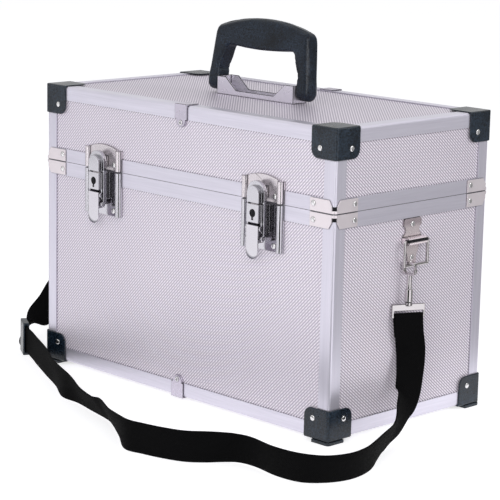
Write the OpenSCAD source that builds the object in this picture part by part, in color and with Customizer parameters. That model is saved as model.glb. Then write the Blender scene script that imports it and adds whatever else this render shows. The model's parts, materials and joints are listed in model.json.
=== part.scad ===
// Aluminium framed hairdressing case with a folding handle, two key latches and a clip-on shoulder strap.
// Millimetres. X runs to the right along the front, the front faces -Y, and Z is up from the floor.

/* [Case] */
// Width over the edge profiles
case_w = 377; // [320:1:440]
// Depth over the edge profiles
case_d = 198; // [170:1:260]
// Height over the edge profiles
case_h = 266.5; // [250:0.5:300]
// Height of the seam above the lowest profile
seam_up = 195; // [180:1:205]
// Height of the feet below the lowest profile
foot_h = 4; // [3:0.5:8]

/* [Panels and profiles] */
// Thickness of a panel
panel_t = 4; // [3:0.5:6]
// Width of each leg of an edge profile
profile_leg = 13; // [11:0.5:15]
// Wall of an edge profile
profile_wall = 1.2; // [1:0.1:1.5]
// Rounding of the outer edges
edge_r = 2.5; // [2:0.5:3]
// Height of the rim of the base
base_rim_h = 13; // [12:0.5:15]
// Height of the rim of the lid
lid_rim_h = 12; // [11:0.5:14]
// Thickness of the flat edge of a rim
rim_flange = 1.5; // [1:0.1:2]
// Gap between the two rims when the case is shut
seam_gap = 0.4; // [0.3:0.1:0.8]
// Height of the lip that lines the lid up with the base
lip_h = 2.8; // [2:0.2:4]
// Clearance around that lip
lip_gap = 0.4; // [0.3:0.1:0.6]
// Thickness of the padded lining
lining_t = 2; // [1:0.5:3]

/* [Corner caps and clips] */
// Reach of a corner cap from the corner
cap_leg = 27.5; // [22:0.5:32]
// Height of a corner cap from the corner
cap_h = 26.5; // [22:0.5:32]
// Wall of a corner cap
cap_wall = 1.5; // [1.2:0.1:2]
// Wall of a corner cap above or below the case
cap_end_wall = 1; // [0.8:0.1:1.4]
// Rounding of a corner cap
cap_r = 3.5; // [3:0.5:6]
// Radius of the free corners of a corner cap
cap_free_r = 8; // [4:0.5:10]
// Reach of a foot from the corner
foot_leg = 18.5; // [14:0.5:22]
// Distance of a cap rivet from the corner
rivet_in = 17.3; // [12:0.1:20]
// Radius of a rivet head
rivet_r = 2.6; // [2:0.1:3]
// Height of a rivet head
rivet_h = 0.9; // [0.5:0.1:1.2]
// Reach of a seam plate from the corner
plate_leg = 27.6; // [22:0.2:32]
// Sheet thickness of the seam plates and clips
sheet_t = 1; // [0.8:0.1:1.2]
// Width of a centre clip
clip_w = 16; // [12:1:20]
// Length of a centre clip on the outside faces
clip_len = 19.8; // [17:0.2:24]

/* [Hinges] */
// Distance of each hinge and latch from the middle of the case
fitting_x = 105; // [90:1:120]
// Width of a hinge
hinge_w = 46; // [36:1:60]
// Height of a hinge leaf
leaf_h = 12.2; // [10:0.2:13]
// Distance of the hinge axis behind the case
axis_out = 4.6; // [4:0.1:5]
// Radius of a hinge knuckle
knuckle_r = 3.6; // [3:0.1:4]
// Radius of a hinge pin
hinge_pin_r = 1.5; // [1:0.1:1.8]

/* [Latches] */
// Width of a latch plate
latch_w = 50; // [44:1:56]
// Height of the foot of a latch plate above the floor
latch_foot_z = 157; // [150:1:165]
// Depth of a latch in front of the case
latch_out = 13.2; // [12:0.2:14.4]
// Half width of the lock body and the lever
lever_half = 7.2; // [6.4:0.2:7.6]
// Distance of the lever pin below the seam
lever_drop = 22; // [21:0.5:24]
// Depth of the lever pin behind the front of the latch
lever_pin_in = 2.7; // [2.5:0.1:3]
// Radius of the lever pin
lever_pin_r = 1.2; // [1:0.1:1.3]
// Length of the lever below its pin
lever_len = 26.8; // [24:0.2:30]
// Distance of the claw pin below the lever pin
claw_drop = 8.5; // [8:0.5:9.5]
// Radius of the lock cylinder
lock_r = 3.4; // [3:0.1:3.8]
// Height of the lock cylinder above the lever pin
lock_up = 13; // [12.5:0.5:14]
// Height of the crown of the keeper above the seam
keeper_up = 24; // [22:0.5:28]

/* [Handle] */
// Height of the handle pin above the case
handle_pin_up = 11; // [10.5:0.5:14]
// Height of the handle above its pin
handle_rise = 60.6; // [55:0.1:70]
// Lean of the handle towards the back in degrees
handle_lean = 6; // [0:1:15]
// Depth of the handle from front to back
handle_depth = 15; // [12:1:17]
// Radius of the ears of the handle
ear_r = 7.5; // [6.5:0.5:8]
// Radius of a handle pin
handle_pin_r = 2.5; // [2:0.1:3]
// Half length of the handle bracket
bracket_half = 49.5; // [47:0.1:51]
// Half depth of the handle bracket
bracket_half_d = 9; // [8:0.5:9.5]

/* [Strap fittings] */
// Height of the ring pin above the floor
ring_z = 166; // [160:1:170]
// Distance of the ring pin from the side panel
ring_out = 6.1; // [5.8:0.1:7]
// Half width of a ring between its wire centres
ring_half = 15; // [14:0.5:17]
// Drop of a ring from its pin to its lower bar
ring_drop = 20.9; // [19:0.1:23]
// Radius of the ring wire
ring_wire_r = 1.5; // [1.2:0.1:1.7]
// Radius of the hook barrel
barrel_r = 3.4; // [3.2:0.1:4.5]
// Distance of the hook from the side panel
hook_out = 8.3; // [8.2:0.1:9.5]
// Distance that each hook has slid towards the front along its ring
hook_slide = 10; // [0:1:10]
// Turn of the strap eyes towards the front in degrees
eye_turn = 25; // [0:5:25]

/* [Strap] */
// Width of the strap
strap_w = 27; // [24:1:27]
// Thickness of the strap
strap_t = 1.6; // [1.2:0.2:2]

/* [Clearances] */
// Running clearance of a pin in its bore
run_gap = 0.06; // [0.04:0.01:0.1]
// Clearance of a fixed pin in its bore
fix_gap = 0.02; // [0.01:0.01:0.03]
// Gap between pieces that move past each other
move_gap = 0.4; // [0.3:0.05:0.5]

/* [Hidden] */
$fn = 48;

half_w = case_w / 2;
half_d = case_d / 2;
low_z = foot_h;
high_z = foot_h + case_h;
seam_z = foot_h + seam_up;
wall_in = profile_wall + panel_t;
lip_out = wall_in + profile_wall + lip_gap;
lip_t = 1.4;
base_rim_low = seam_z - seam_gap / 2 - base_rim_h;
lid_rim_high = seam_z + seam_gap / 2 + lid_rim_h;
rivet_up = 17.5;
axis_y = half_d + axis_out;
pin_z = seam_z - lever_drop;
pin_out = latch_out - lever_pin_in;
claw_pin_out = pin_out - 1;
claw_pin_z = pin_z - claw_drop;
claw_pin_r = 1.1;
handle_z = high_z + handle_pin_up;
side_face = half_w - profile_wall;
ring_x = side_face + ring_out;
hook_x = side_face + hook_out;
hook_top_r = 4;
hook_wire = 2;
hook_slack = 0.8;
hook_z = ring_z - ring_drop + ring_wire_r + hook_slack - hook_top_r;
hook_len = 31;
barrel_low = ring_z - ring_drop - hook_len;
eye_top = barrel_low - 2;
eye_band = 6;
eye_slot = 3.8;
eye_bar = 2.2;
strap_top = eye_top - eye_band - eye_slot - eye_bar;
silver = [0.80, 0.79, 0.84];
panel_grey = [0.83, 0.82, 0.87];
nickel = [0.74, 0.73, 0.72];
black = [0.10, 0.11, 0.13];

// The route of the strap from the right eye to the left one: middle of the webbing, then the
// direction across it.
route = [
    [196, -10, 100, -0.42, -0.91, 0], [197, -9, 86, -0.45, -0.9, 0], [197, -6, 68, -0.5, -0.85, 0.1],
    [200, -10, 47, -0.35, -0.9, 0.3], [203, -16, 33, -0.3, -0.7, 0.6], [210, -28, 27, -0.1, -0.4, 0.9],
    [218, -43, 20, 0.1, -0.3, 0.95], [228, -61, 16, 0.3, 0, 0.95], [237, -79, 13, 0.35, 0.1, 0.95],
    [248, -99, 13, 0.25, 0.1, 0.95], [260, -121, 13, 0.2, 0, 0.98], [267, -142, 13, 0.25, 0, 0.95],
    [267, -161, 13, 0.3, -0.1, 0.95], [259, -179, 13, 0.25, -0.2, 0.95], [244, -191, 13, 0.1, -0.2, 1],
    [220, -194, 13, 0, -0.2, 1], [192, -190, 13, 0, -0.2, 1], [176, -192, 13, 0.1, -0.2, 1],
    [167, -199, 13, 0.1, -0.1, 1], [156, -211, 13, 0, 0, 1], [144, -222, 13, 0, 0, 1],
    [127, -229, 13, 0, 0, 1], [106, -234, 13, 0, 0, 1], [85, -236, 13, 0, 0, 1],
    [53, -220, 13, -0.2, -0.3, 0.95], [21, -202, 12, -0.2, -0.4, 0.9], [5, -197, 12, -0.2, -0.5, 0.8],
    [-21, -190, 12, -0.1, -0.5, 0.9], [-47, -181, 13, 0, -0.3, 0.95], [-72, -175, 13, 0, 0, 1],
    [-105, -158, 13, -0.1, -0.1, 1], [-143, -138, 13, 0, 0, 1], [-190, -115, 15, 0, 0, 1],
    [-222, -101, 17, 0, 0, 1], [-239, -88, 19, 0.3, 0.3, 0.85], [-240, -73, 27, 0.6, 0.6, 0.3],
    [-234, -60, 42, 0.7, 0.6, -0.2], [-227, -49, 62, 0.6, 0.7, -0.4], [-214, -32, 78, 0.2, 0.9, -0.3],
    [-201, -15, 90, -0.35, 0.9, -0.1], [-196, -10, 100, -0.42, 0.91, 0]];

module at_corner(k) {
    turn_x = (k == 1 || k == 2) ? 1 : -1;
    turn_y = k >= 2 ? 1 : -1;
    translate([turn_x * half_w, turn_y * half_d, 0]) rotate(90 * k) children();
}

module on_side(s) {
    if (s > 0) children();
    else mirror([1, 0, 0]) children();
}

module span_box(a, b) {
    translate(a) cube(b - a);
}

module square_round(size, r) {
    translate([r, 0]) square([size - r, size]);
    translate([0, r]) square([size, size - r]);
    translate([r, r]) circle(r);
}

module angle_bar(len) {
    linear_extrude(len) difference() {
        square_round(profile_leg, edge_r);
        translate([profile_wall, profile_wall]) square(profile_leg);
    }
}

module ring_outline(out, in) {
    difference() {
        union() {
            if (out > 0) translate([-half_w + out, -half_d + out])
                square([case_w - 2 * out, case_d - 2 * out]);
            if (out == 0) rounded_outline();
        }
        translate([-half_w + in, -half_d + in]) square([case_w - 2 * in, case_d - 2 * in]);
    }
}

module rounded_outline() {
    translate([-half_w + edge_r, -half_d]) square([case_w - 2 * edge_r, case_d]);
    translate([-half_w, -half_d + edge_r]) square([case_w, case_d - 2 * edge_r]);
    for (k = [0:3]) at_corner(k) translate([edge_r, edge_r]) circle(edge_r);
}

// Panels and lining

module front_panel(low, high, s) {
    y = s < 0 ? -half_d + profile_wall : half_d - wall_in;
    color(panel_grey) translate([-side_face, y, low]) cube([2 * side_face, panel_t, high - low]);
}

module side_panel(low, high, s) {
    x = s < 0 ? -side_face : side_face - panel_t;
    color(panel_grey) translate([x, -half_d + wall_in, low])
        cube([panel_t, case_d - 2 * wall_in, high - low]);
}

module flat_panel(low) {
    color(panel_grey) translate([-half_w + wall_in, -half_d + wall_in, low])
        cube([case_w - 2 * wall_in, case_d - 2 * wall_in, panel_t]);
}

base_panel_low = low_z + profile_wall;
base_panel_high = seam_z - seam_gap / 2 - rim_flange;
lid_panel_low = seam_z + seam_gap / 2 + rim_flange;
lid_panel_high = high_z - profile_wall;

module base_front_panel() { front_panel(base_panel_low, base_panel_high, -1); }
module base_back_panel() { front_panel(base_panel_low, base_panel_high, 1); }
module base_left_panel() { side_panel(base_panel_low, base_panel_high, -1); }
module base_right_panel() { side_panel(base_panel_low, base_panel_high, 1); }
module base_bottom_panel() { flat_panel(base_panel_low); }
module lid_front_panel() { front_panel(lid_panel_low, lid_panel_high, -1); }
module lid_back_panel() { front_panel(lid_panel_low, lid_panel_high, 1); }
module lid_left_panel() { side_panel(lid_panel_low, lid_panel_high, -1); }
module lid_right_panel() { side_panel(lid_panel_low, lid_panel_high, 1); }
module lid_top_panel() { flat_panel(lid_panel_high - panel_t); }

module lining(low, high, floor_low) {
    inside = [half_w - wall_in, half_d - wall_in];
    color(black) difference() {
        span_box([-inside[0], -inside[1], low], [inside[0], inside[1], high]);
        span_box([-inside[0] + lining_t, -inside[1] + lining_t, floor_low ? low + lining_t : low - 1],
            [inside[0] - lining_t, inside[1] - lining_t, floor_low ? high + 1 : high - lining_t]);
    }
}

module base_lining() { lining(low_z + wall_in, base_rim_low, true); }
module lid_lining() { lining(lid_rim_high, high_z - wall_in, false); }

// Edge profiles and rims

module base_uprights() {
    color(silver) for (k = [0:3]) at_corner(k) translate([0, 0, low_z + edge_r])
        angle_bar(base_rim_low - low_z - edge_r);
}

module lid_uprights() {
    color(silver) for (k = [0:3]) at_corner(k) translate([0, 0, lid_rim_high])
        angle_bar(high_z - edge_r - lid_rim_high);
}

// Four angles round the bottom, which stop short of the corners under the caps.
module flat_profiles() {
    for (s = [0, 1]) rotate(180 * s) {
        translate([-half_w + profile_leg, -half_d, low_z]) rotate([90, 0, 90])
            angle_bar(case_w - 2 * profile_leg);
        translate([half_w, half_d - profile_leg, low_z]) mirror([1, 0, 0]) rotate([90, 0, 0])
            angle_bar(case_d - 2 * profile_leg);
    }
}

module base_bottom_profiles() {
    color(silver) flat_profiles();
}

module lid_top_profiles() {
    color(silver) translate([0, 0, low_z + high_z]) mirror([0, 0, 1]) flat_profiles();
}

module base_rim() {
    top = seam_z - seam_gap / 2;
    color(silver) {
        translate([0, 0, base_rim_low]) linear_extrude(base_rim_h) ring_outline(0, profile_wall);
        translate([0, 0, base_rim_low]) linear_extrude(base_rim_h) ring_outline(wall_in, wall_in + profile_wall);
        translate([0, 0, top - rim_flange]) linear_extrude(rim_flange)
            ring_outline(profile_wall / 2, lip_out + lip_t);
        difference() {
            translate([0, 0, top - rim_flange]) linear_extrude(rim_flange + seam_gap + lip_h)
                ring_outline(lip_out, lip_out + lip_t);
            translate([-half_w, half_d - profile_leg, top]) cube([case_w, case_d, lip_h + 2]);
        }
    }
}

module lid_rim() {
    low = seam_z + seam_gap / 2;
    color(silver) {
        translate([0, 0, low]) linear_extrude(lid_rim_h) ring_outline(0, profile_wall);
        translate([0, 0, low]) linear_extrude(lid_rim_h) ring_outline(wall_in, wall_in + profile_wall);
        translate([0, 0, low]) linear_extrude(rim_flange) ring_outline(profile_wall / 2, wall_in + profile_wall);
    }
}

// Corner caps, seam plates, clips and rivets. A cap is drawn at the lower front left corner.

module corner_shape(size, r, free_r) {
    intersection() {
        square_round(size, r);
        union() {
            square([size, size - free_r]);
            square([size - free_r, size]);
            translate([size - free_r, size - free_r]) circle(free_r);
        }
    }
}

module rounded_block(out, out_z, reach, height, r_side, r_end) {
    intersection() {
        translate([-out, -out, -out_z]) linear_extrude(height + out_z) square_round(reach + out, r_side);
        translate([-out, reach, -out_z]) rotate([90, 0, 0]) linear_extrude(reach + out)
            square_round(reach + height + out, r_end);
        translate([-out, -out, -out_z]) rotate([90, 0, 90]) linear_extrude(reach + out)
            square_round(reach + height + out, r_end);
    }
}

module corner_cap() {
    big = cap_leg + cap_h;
    color(black) difference() {
        intersection() {
            rounded_block(cap_wall, cap_end_wall, cap_leg, cap_h, cap_r, cap_end_wall + 1);
            translate([-cap_wall, -cap_wall, -cap_end_wall]) linear_extrude(big)
                corner_shape(cap_leg + cap_wall, cap_r, cap_free_r);
            free_corner(cap_leg + cap_wall, cap_h + cap_end_wall, big);
            mirror([1, -1, 0]) free_corner(cap_leg + cap_wall, cap_h + cap_end_wall, big);
        }
        rounded_block(0, 0, big, big, edge_r, edge_r);
    }
}

// A prism along Y whose far upper corner is rounded.
module free_corner(across, high, deep) {
    translate([-cap_wall, deep - cap_wall, -cap_end_wall]) rotate([90, 0, 0]) linear_extrude(deep) {
        square([across, high - cap_free_r]);
        square([across - cap_free_r, high]);
        translate([across - cap_free_r, high - cap_free_r]) circle(cap_free_r);
    }
}

module corner_foot() {
    lift = foot_h - cap_end_wall;
    color(black) translate([-cap_wall, -cap_wall, -foot_h]) linear_extrude(lift)
        square_round(foot_leg + cap_wall, cap_r);
}

module base_cap(k) {
    at_corner(k) translate([0, 0, low_z]) {
        corner_cap();
        corner_foot();
    }
}

module lid_cap(k) {
    at_corner(k) translate([0, 0, high_z]) mirror([0, 0, 1]) corner_cap();
}

module cap_base_front_left() { base_cap(0); }
module cap_base_front_right() { base_cap(1); }
module cap_base_back_right() { base_cap(2); }
module cap_base_back_left() { base_cap(3); }
module cap_lid_front_left() { lid_cap(0); }
module cap_lid_front_right() { lid_cap(1); }
module cap_lid_back_right() { lid_cap(2); }
module cap_lid_back_left() { lid_cap(3); }

// The notch at the corner shows the end of the upright, and beyond it both legs are cut off aslant.
module seam_plates(low, high, notch_z, up) {
    notch = 3.4;
    slant = 6.5;
    cut_low = up ? notch_z : low - 1;
    cut_high = up ? high + 1 : notch_z + notch;
    color(nickel) for (k = [0:3]) at_corner(k) difference() {
        translate([0, 0, low]) linear_extrude(high - low) difference() {
            translate([-sheet_t, -sheet_t]) square_round(plate_leg + sheet_t, edge_r + sheet_t);
            square_round(plate_leg + 1, edge_r);
        }
        translate([-sheet_t - 1, -sheet_t - 1, notch_z]) cube([notch + sheet_t, notch + sheet_t, notch]);
        for (turn = [0, 1]) mirror([turn, -turn, 0])
            translate([0, 1, 0]) rotate([90, 0, 0]) linear_extrude(sheet_t + 2)
                polygon([[-sheet_t - 1, cut_low], [up ? 0 : slant, cut_low], [up ? slant : 0, cut_high],
                    [-sheet_t - 1, cut_high]]);
    }
}

module base_seam_plates() {
    seam_plates(base_rim_low + 0.6, seam_z - seam_gap / 2 - 0.3, seam_z - 6.4, false);
}

module lid_seam_plates() {
    seam_plates(seam_z + seam_gap / 2 + 0.3, lid_rim_high - 0.6, seam_z + 3, true);
}

// A clip folded over the lower edge of the front, with a round tongue that reaches the panel.
module centre_clip() {
    tongue_r = clip_w / 2 - 2;
    tongue_z = clip_len - tongue_r;
    span_box([-clip_w / 2, -sheet_t, -sheet_t], [clip_w / 2, 0, profile_leg]);
    span_box([-clip_w / 2, -sheet_t, -sheet_t], [clip_w / 2, profile_leg, 0]);
    intersection() {
        union() {
            span_box([-tongue_r, -sheet_t, profile_leg - 1], [tongue_r, profile_wall, tongue_z]);
            translate([0, profile_wall, tongue_z]) rotate([90, 0, 0])
                cylinder(h = sheet_t + profile_wall, r = tongue_r);
        }
        union() {
            span_box([-clip_w, -sheet_t, 0], [clip_w, 0, 2 * clip_len]);
            span_box([-clip_w, -sheet_t, profile_leg + 0.1], [clip_w, profile_wall, 2 * clip_len]);
        }
    }
}

module clips() {
    for (s = [0, 1]) rotate(180 * s) translate([0, -half_d, low_z]) centre_clip();
}

module base_clips() { color(nickel) clips(); }
module lid_clips() { color(nickel) translate([0, 0, low_z + high_z]) mirror([0, 0, 1]) clips(); }

module rivet(out) {
    translate([0, -out, 0]) rotate([90, 0, 0]) cylinder(h = rivet_h, r1 = rivet_r, r2 = rivet_r * 0.6);
}

module corner_rivets(z, out, in) {
    for (k = [0:3]) at_corner(k) {
        translate([in, 0, z]) rivet(out);
        translate([0, in, z]) rotate(-90) rivet(out);
    }
}

module clip_rivets(z) {
    for (s = [0, 1]) rotate(180 * s) translate([0, -half_d, z]) rivet(sheet_t);
}

module leaf_rivets(z) {
    for (s = [-1, 1], side = [-1, 1])
        translate([s * fitting_x + side * hinge_w / 3, half_d, z]) rotate(180) rivet(profile_wall);
}

module latch_rivets(z) {
    for (s = [-1, 1], side = [-1, 1])
        translate([s * fitting_x + side * 14.5, -half_d, z]) rivet(profile_wall);
}

module bracket_rivets() {
    for (s = [-1, 1]) on_side(s)
        for (z = [ring_z + 14, ring_z - 15.4]) translate([side_face, 0, z]) rotate(90) rivet(bracket_t);
}

module base_rivets() {
    color(nickel) {
        corner_rivets(low_z + rivet_up, cap_wall, rivet_in);
        corner_rivets(seam_z - 7, sheet_t, plate_leg - 4);
        clip_rivets(low_z + clip_len - 4);
        leaf_rivets(seam_z - leaf_h / 2 - 2);
        latch_rivets(latch_foot_z + 5);
        bracket_rivets();
    }
}

module lid_rivets() {
    color(nickel) {
        corner_rivets(high_z - rivet_up, cap_wall, rivet_in);
        corner_rivets(seam_z + 7, sheet_t, plate_leg - 4);
        clip_rivets(high_z - clip_len + 4);
        leaf_rivets(seam_z + leaf_h / 2 + 2);
        latch_rivets(seam_z + 6);
        for (side = [-1, 1]) translate([side * bracket_rivet_x, 0, lid_panel_high + bracket_t])
            rotate([-90, 0, 0]) rivet(0);
    }
}

// Hinges: base knuckles and lid knuckles take turns along one pin.

hinge_parts = 5;
seg = hinge_w / hinge_parts;

module hinge_leaf(first, up) {
    clear = knuckle_r + move_gap;
    for (s = [-1, 1]) translate([s * fitting_x - hinge_w / 2, axis_y, seam_z]) mirror([0, 0, up ? 0 : 1]) {
        span_box([0, -axis_out, clear], [hinge_w, profile_wall - axis_out, leaf_h]);
        for (n = [first:2:hinge_parts - 1]) difference() {
            union() {
                translate([n * seg + move_gap / 2, 0, 0]) rotate([0, 90, 0])
                    cylinder(h = seg - move_gap, r = knuckle_r);
                span_box([n * seg + move_gap / 2, -axis_out, 0.6],
                    [(n + 1) * seg - move_gap / 2, profile_wall - axis_out, clear + 1]);
            }
            translate([-1, 0, 0]) rotate([0, 90, 0])
                cylinder(h = hinge_w + 2, r = hinge_pin_r + (up ? run_gap : fix_gap));
        }
    }
}

module hinge_base_leaves() { color(nickel) hinge_leaf(0, false); }
module hinge_lid_leaves() { color(nickel) hinge_leaf(1, true); }

module hinge_pins() {
    color(nickel) for (s = [-1, 1])
        translate([s * fitting_x - hinge_w / 2, axis_y, seam_z]) rotate([0, 90, 0])
            cylinder(h = hinge_w, r = hinge_pin_r);
}

// Latches. Each is drawn about its own middle line, with depth measured out from the front.

module front_box(x, out, z) {
    span_box([x[0], -half_d - out[1], z[0]], [x[1], -half_d - out[0], z[1]]);
}

module cross_rod(half_len, out, z, r) {
    translate([-half_len, -half_d - out, z]) rotate([0, 90, 0]) cylinder(h = 2 * half_len, r = r);
}

roll_r = 3;
roll_x = latch_w / 2 - roll_r - 0.5;
body_low = pin_z + 4.8;
body_high = seam_z - 1.2;
ear_in = lever_half + move_gap;
ear_out = ear_in + 1.3;
arm_in = ear_out + 0.3;
arm_out = arm_in + 1.2;

module latch_rolls(z) {
    for (side = [-1, 1]) intersection() {
        translate([side * roll_x, -half_d - profile_wall, z[0]]) cylinder(h = z[1] - z[0], r = roll_r);
        front_box([-latch_w, latch_w], [0, 2 * roll_r], z);
    }
}

module latch_base() {
    difference() {
        union() {
            front_box([-latch_w / 2, latch_w / 2], [0, profile_wall], [latch_foot_z, seam_z - 0.6]);
            front_box([-latch_w / 2, latch_w / 2], [-profile_wall, 0.1], [latch_foot_z, base_rim_low - 0.1]);
            latch_rolls([latch_foot_z, seam_z - 0.6]);
            front_box([-lever_half, lever_half], [0, latch_out], [body_low, body_high]);
            for (side = [-1, 1]) {
                front_box(side < 0 ? [-ear_out, -ear_in + move_gap] : [ear_in - move_gap, ear_out],
                    [0, pin_out], [body_low, body_high]);
                front_box(side < 0 ? [-ear_out, -ear_in] : [ear_in, ear_out],
                    [0, pin_out], [pin_z - 4, body_low + 1]);
                translate([side * (ear_in + ear_out) / 2 - (ear_out - ear_in) / 2, -half_d - pin_out, pin_z])
                    rotate([0, 90, 0]) cylinder(h = ear_out - ear_in, r = lever_pin_r + 1.2);
            }
        }
        cross_rod(latch_w, pin_out, pin_z, lever_pin_r + fix_gap);
        translate([0, -half_d - 4.7, pin_z + lock_up]) rotate([90, 0, 0])
            cylinder(h = latch_out, r = lock_r + run_gap);
        front_box([-1.1, 1.1], [latch_out - 1.7, latch_out + 1], [pin_z + lock_up - 6, pin_z + lock_up]);
    }
}

module latch_bases() {
    color(nickel) for (s = [-1, 1]) translate([s * fitting_x, 0, 0]) latch_base();
}

module latch_pins() {
    color(nickel) for (s = [-1, 1]) translate([s * fitting_x, 0, 0])
        cross_rod(ear_out, pin_out, pin_z, lever_pin_r);
}

// The round tab, as wide as the finger, hangs below the narrow face of the lever.
module lever(s) {
    face_top = pin_z + lever_pin_in - 0.1;
    tab_r = lever_half + 0.2;
    tab_z = pin_z - lever_len + tab_r;
    color(nickel) translate([s * fitting_x, 0, 0]) difference() {
        union() {
            front_box([-lever_half, lever_half], [latch_out - 1.2, latch_out], [tab_z, face_top]);
            intersection() {
                translate([0, -half_d - latch_out + 1.2, tab_z]) rotate([90, 0, 0]) cylinder(h = 1.2, r = tab_r);
                front_box([-tab_r, tab_r], [0, latch_out], [0, tab_z + 2]);
            }
            for (side = [-1, 1])
                front_box(side < 0 ? [-lever_half, 1.2 - lever_half] : [lever_half - 1.2, lever_half],
                    [claw_pin_out - 4, latch_out - 1], [claw_pin_z - 4, face_top]);
            for (side = [-1, 1])
                translate([side < 0 ? -arm_out - 0.5 : lever_half - 0.6, -half_d - claw_pin_out, claw_pin_z])
                    rotate([0, 90, 0]) cylinder(h = arm_out - lever_half + 1.1, r = claw_pin_r);
        }
        cross_rod(latch_w, pin_out, pin_z, lever_pin_r + run_gap);
    }
}

module lever_left() { lever(-1); }
module lever_right() { lever(1); }

// A tongue with a round top, seen from the front: half width, foot and top.
module tongue(half, low, high) {
    translate([-half, low]) square([2 * half, high - half - low]);
    intersection() {
        translate([0, high - half]) circle(half);
        translate([-half, low]) square([2 * half, high - low]);
    }
}

module upright_plate(out) {
    translate([0, -half_d - out[0], 0]) rotate([90, 0, 0]) linear_extrude(out[1] - out[0]) children();
}

// Two arms carry the claw from its pins on the lever past the lock body. The claw is a raised tongue on
// a wider arched plate, whose edge is folded back towards the keeper.
module claw(s) {
    crown_out = 9;
    tongue_top = seam_z + 14.6;
    plate_top = seam_z + 18.7;
    back_out = claw_pin_out - 3.6;
    wall = 1.2;
    color(nickel) translate([s * fitting_x, 0, 0]) difference() {
        union() {
            upright_plate([latch_out - wall, latch_out]) tongue(lever_half, seam_z, tongue_top);
            upright_plate([crown_out - 0.6, latch_out - 1]) difference() {
                tongue(lever_half, seam_z, tongue_top);
                tongue(lever_half - wall, seam_z - 1, tongue_top - wall);
            }
            upright_plate([crown_out - 0.8, crown_out + 0.6]) difference() {
                tongue(arm_out, seam_z, plate_top);
                tongue(lever_half - wall, seam_z - 1, tongue_top - wall);
            }
            upright_plate([back_out, claw_pin_out + 0.1]) difference() {
                tongue(arm_out, claw_pin_z + 1, plate_top);
                tongue(arm_in, claw_pin_z - 1, plate_top - wall);
            }
            for (side = [-1, 1]) translate([side < 0 ? -arm_out : arm_in, -half_d - claw_pin_out, claw_pin_z])
                rotate([0, 90, 0]) cylinder(h = arm_out - arm_in, r = claw_pin_r + wall);
        }
        cross_rod(latch_w, claw_pin_out, claw_pin_z, claw_pin_r + run_gap);
    }
}

module claw_left() { claw(-1); }
module claw_right() { claw(1); }

module lock(s) {
    color(black) translate([s * fitting_x, -half_d, pin_z + lock_up]) rotate([90, 0, 0]) difference() {
        translate([0, 0, 5]) cylinder(h = latch_out - 6, r = lock_r);
        translate([-0.5, -2.4, latch_out - 5]) cube([1, 4.8, 6]);
    }
}

module lock_left() { lock(-1); }
module lock_right() { lock(1); }

module keepers() {
    corner_up = keeper_up - 4;
    half = roll_x - 1;
    arch_r = (half * half + 16) / 8;
    low = seam_z + 0.6;
    color(nickel) for (s = [-1, 1]) translate([s * fitting_x, 0, 0]) {
        intersection() {
            union() {
                front_box([-latch_w / 2, latch_w / 2], [0, profile_wall], [low, seam_z + keeper_up]);
                front_box([-latch_w / 2, latch_w / 2], [-profile_wall, 0.1],
                    [lid_rim_high + 0.1, seam_z + keeper_up]);
            }
            union() {
                front_box([-latch_w, latch_w], [-latch_w, latch_w], [low, seam_z + corner_up]);
                translate([0, half_d, seam_z + keeper_up - arch_r]) rotate([90, 0, 0])
                    cylinder(h = 2 * case_d, r = arch_r, $fn = 96);
            }
        }
        latch_rolls([low, seam_z + corner_up]);
        front_box([-lever_half, lever_half], [0, 3.4], [seam_z + 5, seam_z + 14]);
    }
}

// Handle and its bracket

bracket_t = 1.4;
ear_x = bracket_half + move_gap + 0.1;
ear_t = 16;
ear_drop = 2;
lug_up = 4.5;
bracket_rivet_x = 20;

module handle_bracket() {
    seat = lid_panel_high;
    lug = 11;
    wall_up = handle_z + lug_up - seat;
    trough = 5;
    slope = bracket_half - lug - 14;
    color(silver) difference() {
        union() {
            span_box([-bracket_half, -bracket_half_d, seat],
                [bracket_half, bracket_half_d, seat + bracket_t]);
            for (s = [-1, 1]) translate([0, s * (bracket_half_d - bracket_t / 2) + bracket_t / 2, seat])
                rotate([90, 0, 0]) linear_extrude(bracket_t)
                    polygon([[-bracket_half, 0], [-bracket_half, wall_up], [-bracket_half + lug, wall_up],
                        [-slope, trough], [slope, trough], [bracket_half - lug, wall_up],
                        [bracket_half, wall_up], [bracket_half, 0]]);
            for (s = [-1, 1]) on_side(s) span_box([bracket_half - bracket_t, -bracket_half_d, seat],
                [bracket_half, bracket_half_d, seat + wall_up]);
        }
        translate([-ear_x, 0, handle_z]) rotate([0, 90, 0])
            cylinder(h = 2 * ear_x, r = handle_pin_r + fix_gap);
    }
}

// Each pin has a head inside the bracket and ends inside the ear.
pin_deep = 10;

module handle_pins() {
    head_t = 1.5;
    color(nickel) for (s = [-1, 1]) on_side(s) {
        translate([bracket_half - bracket_t - head_t, 0, handle_z]) rotate([0, 90, 0])
            cylinder(h = head_t, r = handle_pin_r + 1.2);
        translate([bracket_half - bracket_t - head_t, 0, handle_z]) rotate([0, 90, 0])
            cylinder(h = ear_x + pin_deep - bracket_half + bracket_t + head_t, r = handle_pin_r);
    }
}

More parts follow.
